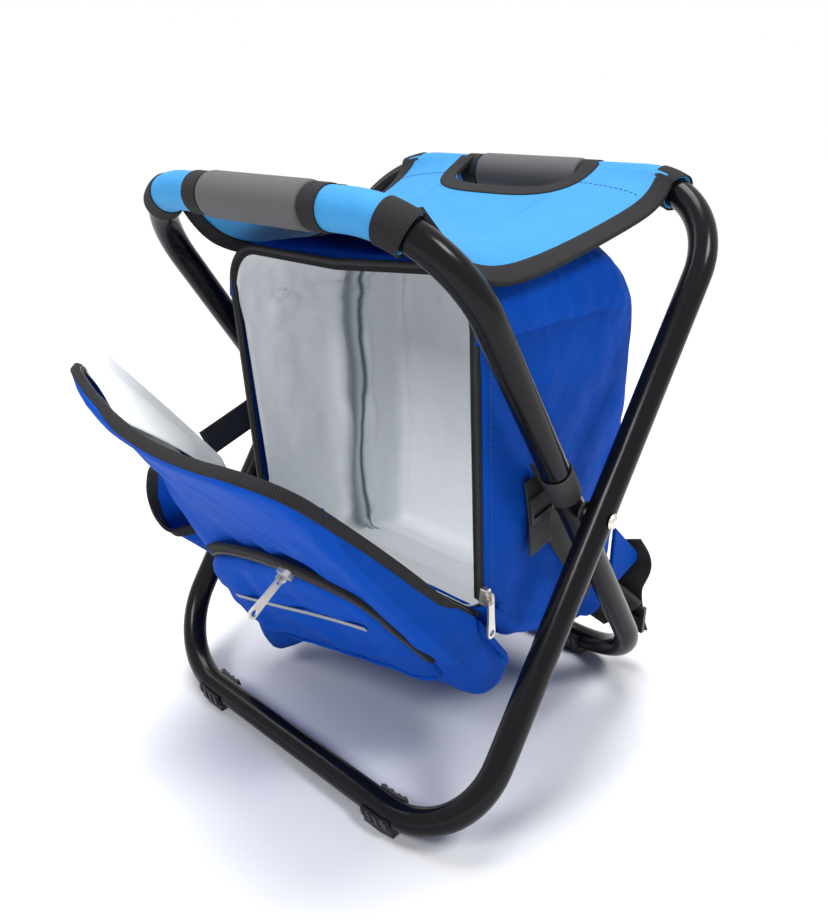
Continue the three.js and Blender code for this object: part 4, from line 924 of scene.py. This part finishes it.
# The lid's pocket: a puffed scoop of the same cloth, piped along its foot and sewn to the lid's face.
# An arched black zip closes it, and a grey reflective strip is sewn across it.
PUFF_SHARES, PUFFED = [0, 0.03, 0.08, 0.2, 0.5, 0.75, 0.92, 1], [0, 0.5, 0.74, 0.86, 1, 0.93, 0.55, 0]
POCKET_TOOTH = (0.0009, 0.0034, 0.0012)
FACE_TOP, FACE_SLOPE, FACE_OUT = 0.0085, 0.19075, np.array([0, -0.838, -0.5457])


def on_face(x, v, out):
    """Points out from the lid's front face, which is deeper the lower it is."""
    depth = FACE_TOP + (LID_TOP - v) * FACE_SLOPE
    return lid_room(x, depth + out, v)


def smooth_path(points, count):
    """A curve of cubics through a few points; its slope at each follows the line between its neighbours."""
    points = np.asarray(points, float)
    ends = np.concatenate([2 * points[:1] - points[1:2], points, 2 * points[-1:] - points[-2:-1]])
    where = np.linspace(0, len(points) - 1, count)
    k = np.minimum(where.astype(int), len(points) - 2)
    t = (where - k)[:, None]
    a, b, c, d = ends[k], ends[k + 1], ends[k + 2], ends[k + 3]
    return 0.5 * (2 * b + (c - a) * t + (2 * a - 5 * b + 4 * c - d) * t**2 + (3 * b - a - 3 * c + d) * t**3)


zip_line = smooth_path(
    [
        (-0.083, 0.048, 0.003),
        (-0.06, 0.06, 0.003),
        (0.0, 0.081, 0.0055),
        (0.032, 0.0905, 0.0065),
        (0.06, 0.0895, 0.005),
        (0.083, 0.076, 0.003),
        (0.095, 0.045, 0.0025),
        (0.099, 0.006, 0.0025),
    ],
    160,
)
zip_x, zip_v, zip_rise = zip_line.T


def pocket_at(across, fall):
    """Points of the pocket, at a share across from its left to its right and a fall from its zip to its foot.

    It puffs out most half way down and hangs fuller on its left, with soft uneven folds.
    """
    px = -0.09 + 0.19 * across
    top = np.interp(px, zip_x, zip_v) - 0.003 - 0.02 * np.clip((zip_x[0] - px) / 0.007, 0, 1)
    round_off = np.sqrt(1 - np.clip((np.abs(px - 0.005) - 0.065) / 0.03, 0, 1) ** 2)
    pv = top + (-0.014 - 0.03 * round_off - top) * fall
    puff = (0.0125 - 0.04 * px) * np.interp(fall, PUFF_SHARES, PUFFED)
    puff = puff * np.clip(1 - np.abs(2 * across - 1) ** 6, 0, 1) ** 0.5
    puff = puff + 0.0012 * ripple(px, pv, 31, 0.07) * np.clip(puff / 0.01, 0, 1)
    return px, pv, puff + 0.0004 + np.interp(px, zip_x, zip_rise) * (1 - fall) ** 3


across, fall = np.meshgrid(np.linspace(0, 1, 120), np.linspace(0, 1, 70), indexing="ij")
pocket_points = on_face(*pocket_at(across, fall))
pocket = thicken(surface("pocket_cloth", pocket_points, bag_cloth), 0.0015)
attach(pocket, "lid")
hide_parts("front_pocket")
px, pv, puff = pocket_at(np.linspace(0.03, 0.97, 112), np.full(112, 0.9))
piping = strap("pocket_piping", on_face(px, pv, puff + 0.0006), FACE_OUT, 0.0013, 0.0026, bag_cloth, 1.0)
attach(piping, "lid")

band_path = on_face(zip_x, zip_v, zip_rise - 0.001)
pocket_zip = strap("pocket_zip_band", band_path, FACE_OUT, 0.0072, 0.0042, tape)
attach(pocket_zip, "lid")
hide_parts("pocket_zip_tape")
teeth_path = on_face(zip_x, zip_v, zip_rise + 0.0012)
teeth = beads("pocket_zip_teeth", teeth_path, FACE_OUT, POCKET_TOOTH, TOOTH_PITCH, zip_black)
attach(teeth, "lid")


def strip_look(s):
    """Grey reflective tape with a fine sparkle."""
    fine = s.noise(s.place(), 2200.0, 2.0)
    return {"Base Color": (0.36, 0.37, 0.36, 1.0), "Roughness": fine * 0.2 + 0.3, "Metallic": 0.3}


reflective = material("reflective", strip_look)
share = np.linspace(0, 1, 60)
px, pv, puff = pocket_at(0.16 + 0.72 * share, 0.31 - 0.07 * share)
bent = np.stack([px, pv, puff + 0.0014], -1)
even = bent[:1] + (bent[-1:] - bent[:1]) * share[:, None]
even[:, 2] = np.polynomial.Polynomial.fit(share, bent[:, 2], 2)(share)
strip_path = on_face(*even.T)
strip = strap("reflective_band", strip_path, FACE_OUT, 0.0019, 0.0008, reflective)
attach(strip, "lid")
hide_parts("reflective_strip")


# The side pouch: an open pocket of the same cloth, sewn to the lid's left wall along its foot and its sides.
# Black tape binds its slanting mouth, which gapes.
mouth = smooth_path(
    [
        (-0.1178, 0.02, 0.111),
        (-0.131, 0.026, 0.101),
        (-0.1405, 0.038, 0.084),
        (-0.1405, 0.049, 0.066),
        (-0.131, 0.0535, 0.055),
        (-0.1178, 0.042, 0.05),
    ],
    60,
)
rise_way = np.linspace(0, 1, 50)[:, None, None]
foot = np.stack([np.full(60, -0.1172), np.linspace(0.014, 0.058, 60), np.linspace(-0.046, -0.022, 60)], -1)
round_way = np.linspace(0, pi, 60)[None, :, None]
swell = np.array([-0.004, 0.0, 0.0]) * np.sin(pi * rise_way) * np.sin(round_way)
pouch_grid = foot + (mouth - foot) * rise_way ** np.array([0.55, 0.8, 1.0]) + swell
pouch_x, pouch_d, pouch_v = np.moveaxis(pouch_grid, -1, 0)
points = on_lean(LID_LEAN, pouch_x, pouch_v, pouch_d)
pouch = thicken(surface("pouch_cloth", points, bag_cloth), 0.0014)
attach(pouch, "lid")
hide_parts("side_pouch")
lip = on_lean(LID_LEAN, pouch_x[-1], pouch_v[-1], pouch_d[-1])
down = unit(on_lean(LID_LEAN, pouch_x[-6], pouch_v[-6], pouch_d[-6]) - lip)
facing = np.cross(np.gradient(lip, axis=0), down)
binding = strap("pouch_tape", lip + 0.0042 * down, facing, 0.0046, 0.0032, tape)
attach(binding, "lid")
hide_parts("side_pouch_binding")


# The side ties: black webbing sewn to the bag's sides and looped round the inner tube above each pivot.
# The free tail comes through a slide buckle; the right one hangs, and the left one points forward.
WEB_HALF, WEB = 0.0125, 0.0016
TIE_LINE = np.array([(0.1181, 0.072, 0.107), (0.1183, 0.03, 0.163), (0.1181, -0.008, 0.213)])
LEFT_TAIL = [(-0.139, -0.0255, 0.2245), (-0.142, -0.05, 0.214), (-0.15, -0.086, 0.197)]
LOOP_MIDDLE = 0.0265
TAIL_LONG, TAIL_SWING, TAIL_X, TONGUE_X = 0.058, 0.42, 0.1203, 0.1305


def webbing_look(s):
    """Woven webbing: slanted ribs in rows."""
    u, v = s.split(s.place("UV"), 2)
    rows = v.wave(0.0042)
    ribs = (u + rows * 0.0006).wave(0.0018)
    return {
        "Base Color": s.mix(ribs, (0.004, 0.004, 0.005, 1.0), (0.018, 0.018, 0.02, 1.0)),
        "Roughness": 0.65,
        "Normal": s.bump(ribs + rows * 0.4, 0.0004, 0.8),
    }


webbing = material("webbing", webbing_look)
for word, side in (("left", -1), ("right", 1)):
    sideways = np.array([side, 0.0, 0.0])
    flat = smooth_path(TIE_LINE * [side, 1, 1], 40)
    tie = strap(f"{word}_tie_web", flat, sideways, WEB_HALF, WEB, webbing)
    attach(tie, "bag")
    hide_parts(f"side_tie_{word}")
    turn = np.linspace(0, 2 * pi, 48, endpoint=False)[:, None]
    height = np.array([0.014, 0.0145, 0.0265, 0.0385, 0.039, 0.0385, 0.0265, 0.0145])[None]
    wall = np.array([0.0104, 0.0109, 0.0109, 0.0109, 0.0104, 0.0098, 0.0098, 0.0098])[None]
    ring = in_loop(LEAN, side * (INNER + wall * np.cos(turn)), height + 0 * turn, wall * np.sin(turn))
    loop = surface(f"{word}_tie_loop_web", ring, webbing, (True, True))
    walk = TAIL_LONG * np.linspace(0, 1, 30)
    across = side * (TAIL_X + 0.0015 * np.sin(3 * walk / TAIL_LONG))
    hung = in_loop(LEAN, across, LOOP_MIDDLE - np.cos(TAIL_SWING) * walk, -np.sin(TAIL_SWING) * walk)
    tail_path = hung if side > 0 else smooth_path(LEFT_TAIL, 30)
    tail = strap(f"{word}_tie_tail", tail_path, sideways, WEB_HALF, WEB, webbing)
    reach = np.linspace(TAIL_X, TONGUE_X, 12)
    tongue_path = in_loop(LEAN, side * reach, LOOP_MIDDLE + 0 * reach, 0 * reach)
    level = in_loop(LEAN, 0.0, 0.0, 1.0) - np.array([0, 0, PIVOT])
    tongue = strap(f"{word}_tie_tongue", tongue_path, level, WEB_HALF, 0.003, webbing)
    for part in (loop, tail, tongue):
        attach(part, "inner_frame")
    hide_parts(f"side_tie_loop_{word}")


# The shoulder straps behind the bag: padded black straps sewn to its back, black webbing through a ladder
# lock, and blue tabs of the bag's cloth sewn into its lower corners.
PAD_HALF, PAD = 0.0235, 0.008
PAD_LINE = np.array(
    [(0.04, 0.1093, 0.292), (0.0548, 0.1093, 0.169), (0.077, 0.1218, 0.0829), (0.112, 0.1408, 0.047)]
)
WEB_LINE = np.array(
    [
        (0.12, 0.151, 0.031),
        (0.1165, 0.1485, 0.045),
        (0.112, 0.1478, 0.072),
        (0.1165, 0.15, 0.096),
        (0.109, 0.142, 0.117),
    ]
)
TAB_X, TAB_Y, TAB_DEEP, TAB = 0.1155, 0.1053, 0.0417, 0.003
backward = np.array([0, 1.0, 0])
for word, side in (("left", -1), ("right", 1)):
    path = smooth_path(PAD_LINE * [side, 1, 1], 60)
    padded = strap(f"{word}_strap_pad", path, backward, PAD_HALF, PAD, webbing, 0.45)
    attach(padded, "bag")
    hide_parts(f"shoulder_strap_{word}")
    path = smooth_path(WEB_LINE * [side, 1, 1], 60)
    web = strap(f"{word}_strap_web", path, backward, WEB_HALF, WEB, webbing)
    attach(web, "bag")
    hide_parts(f"strap_webbing_{word}")
    reach, rise = np.meshgrid(np.linspace(0, 1, 20), np.linspace(0, 1, 20), indexing="ij")
    low, high = 0.088 + 0.011 * reach, 0.144 - 0.039 * reach
    tab_x, tab_y = side * TAB_X + 0 * reach, TAB_Y + TAB_DEEP * reach
    tab_points = np.stack([tab_x, tab_y, low + (high - low) * rise], -1)
    tab = thicken(surface(f"{word}_tab_cloth", tab_points, bag_cloth), TAB, 0.0)
    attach(tab, "bag")
    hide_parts(f"strap_tab_{word}")
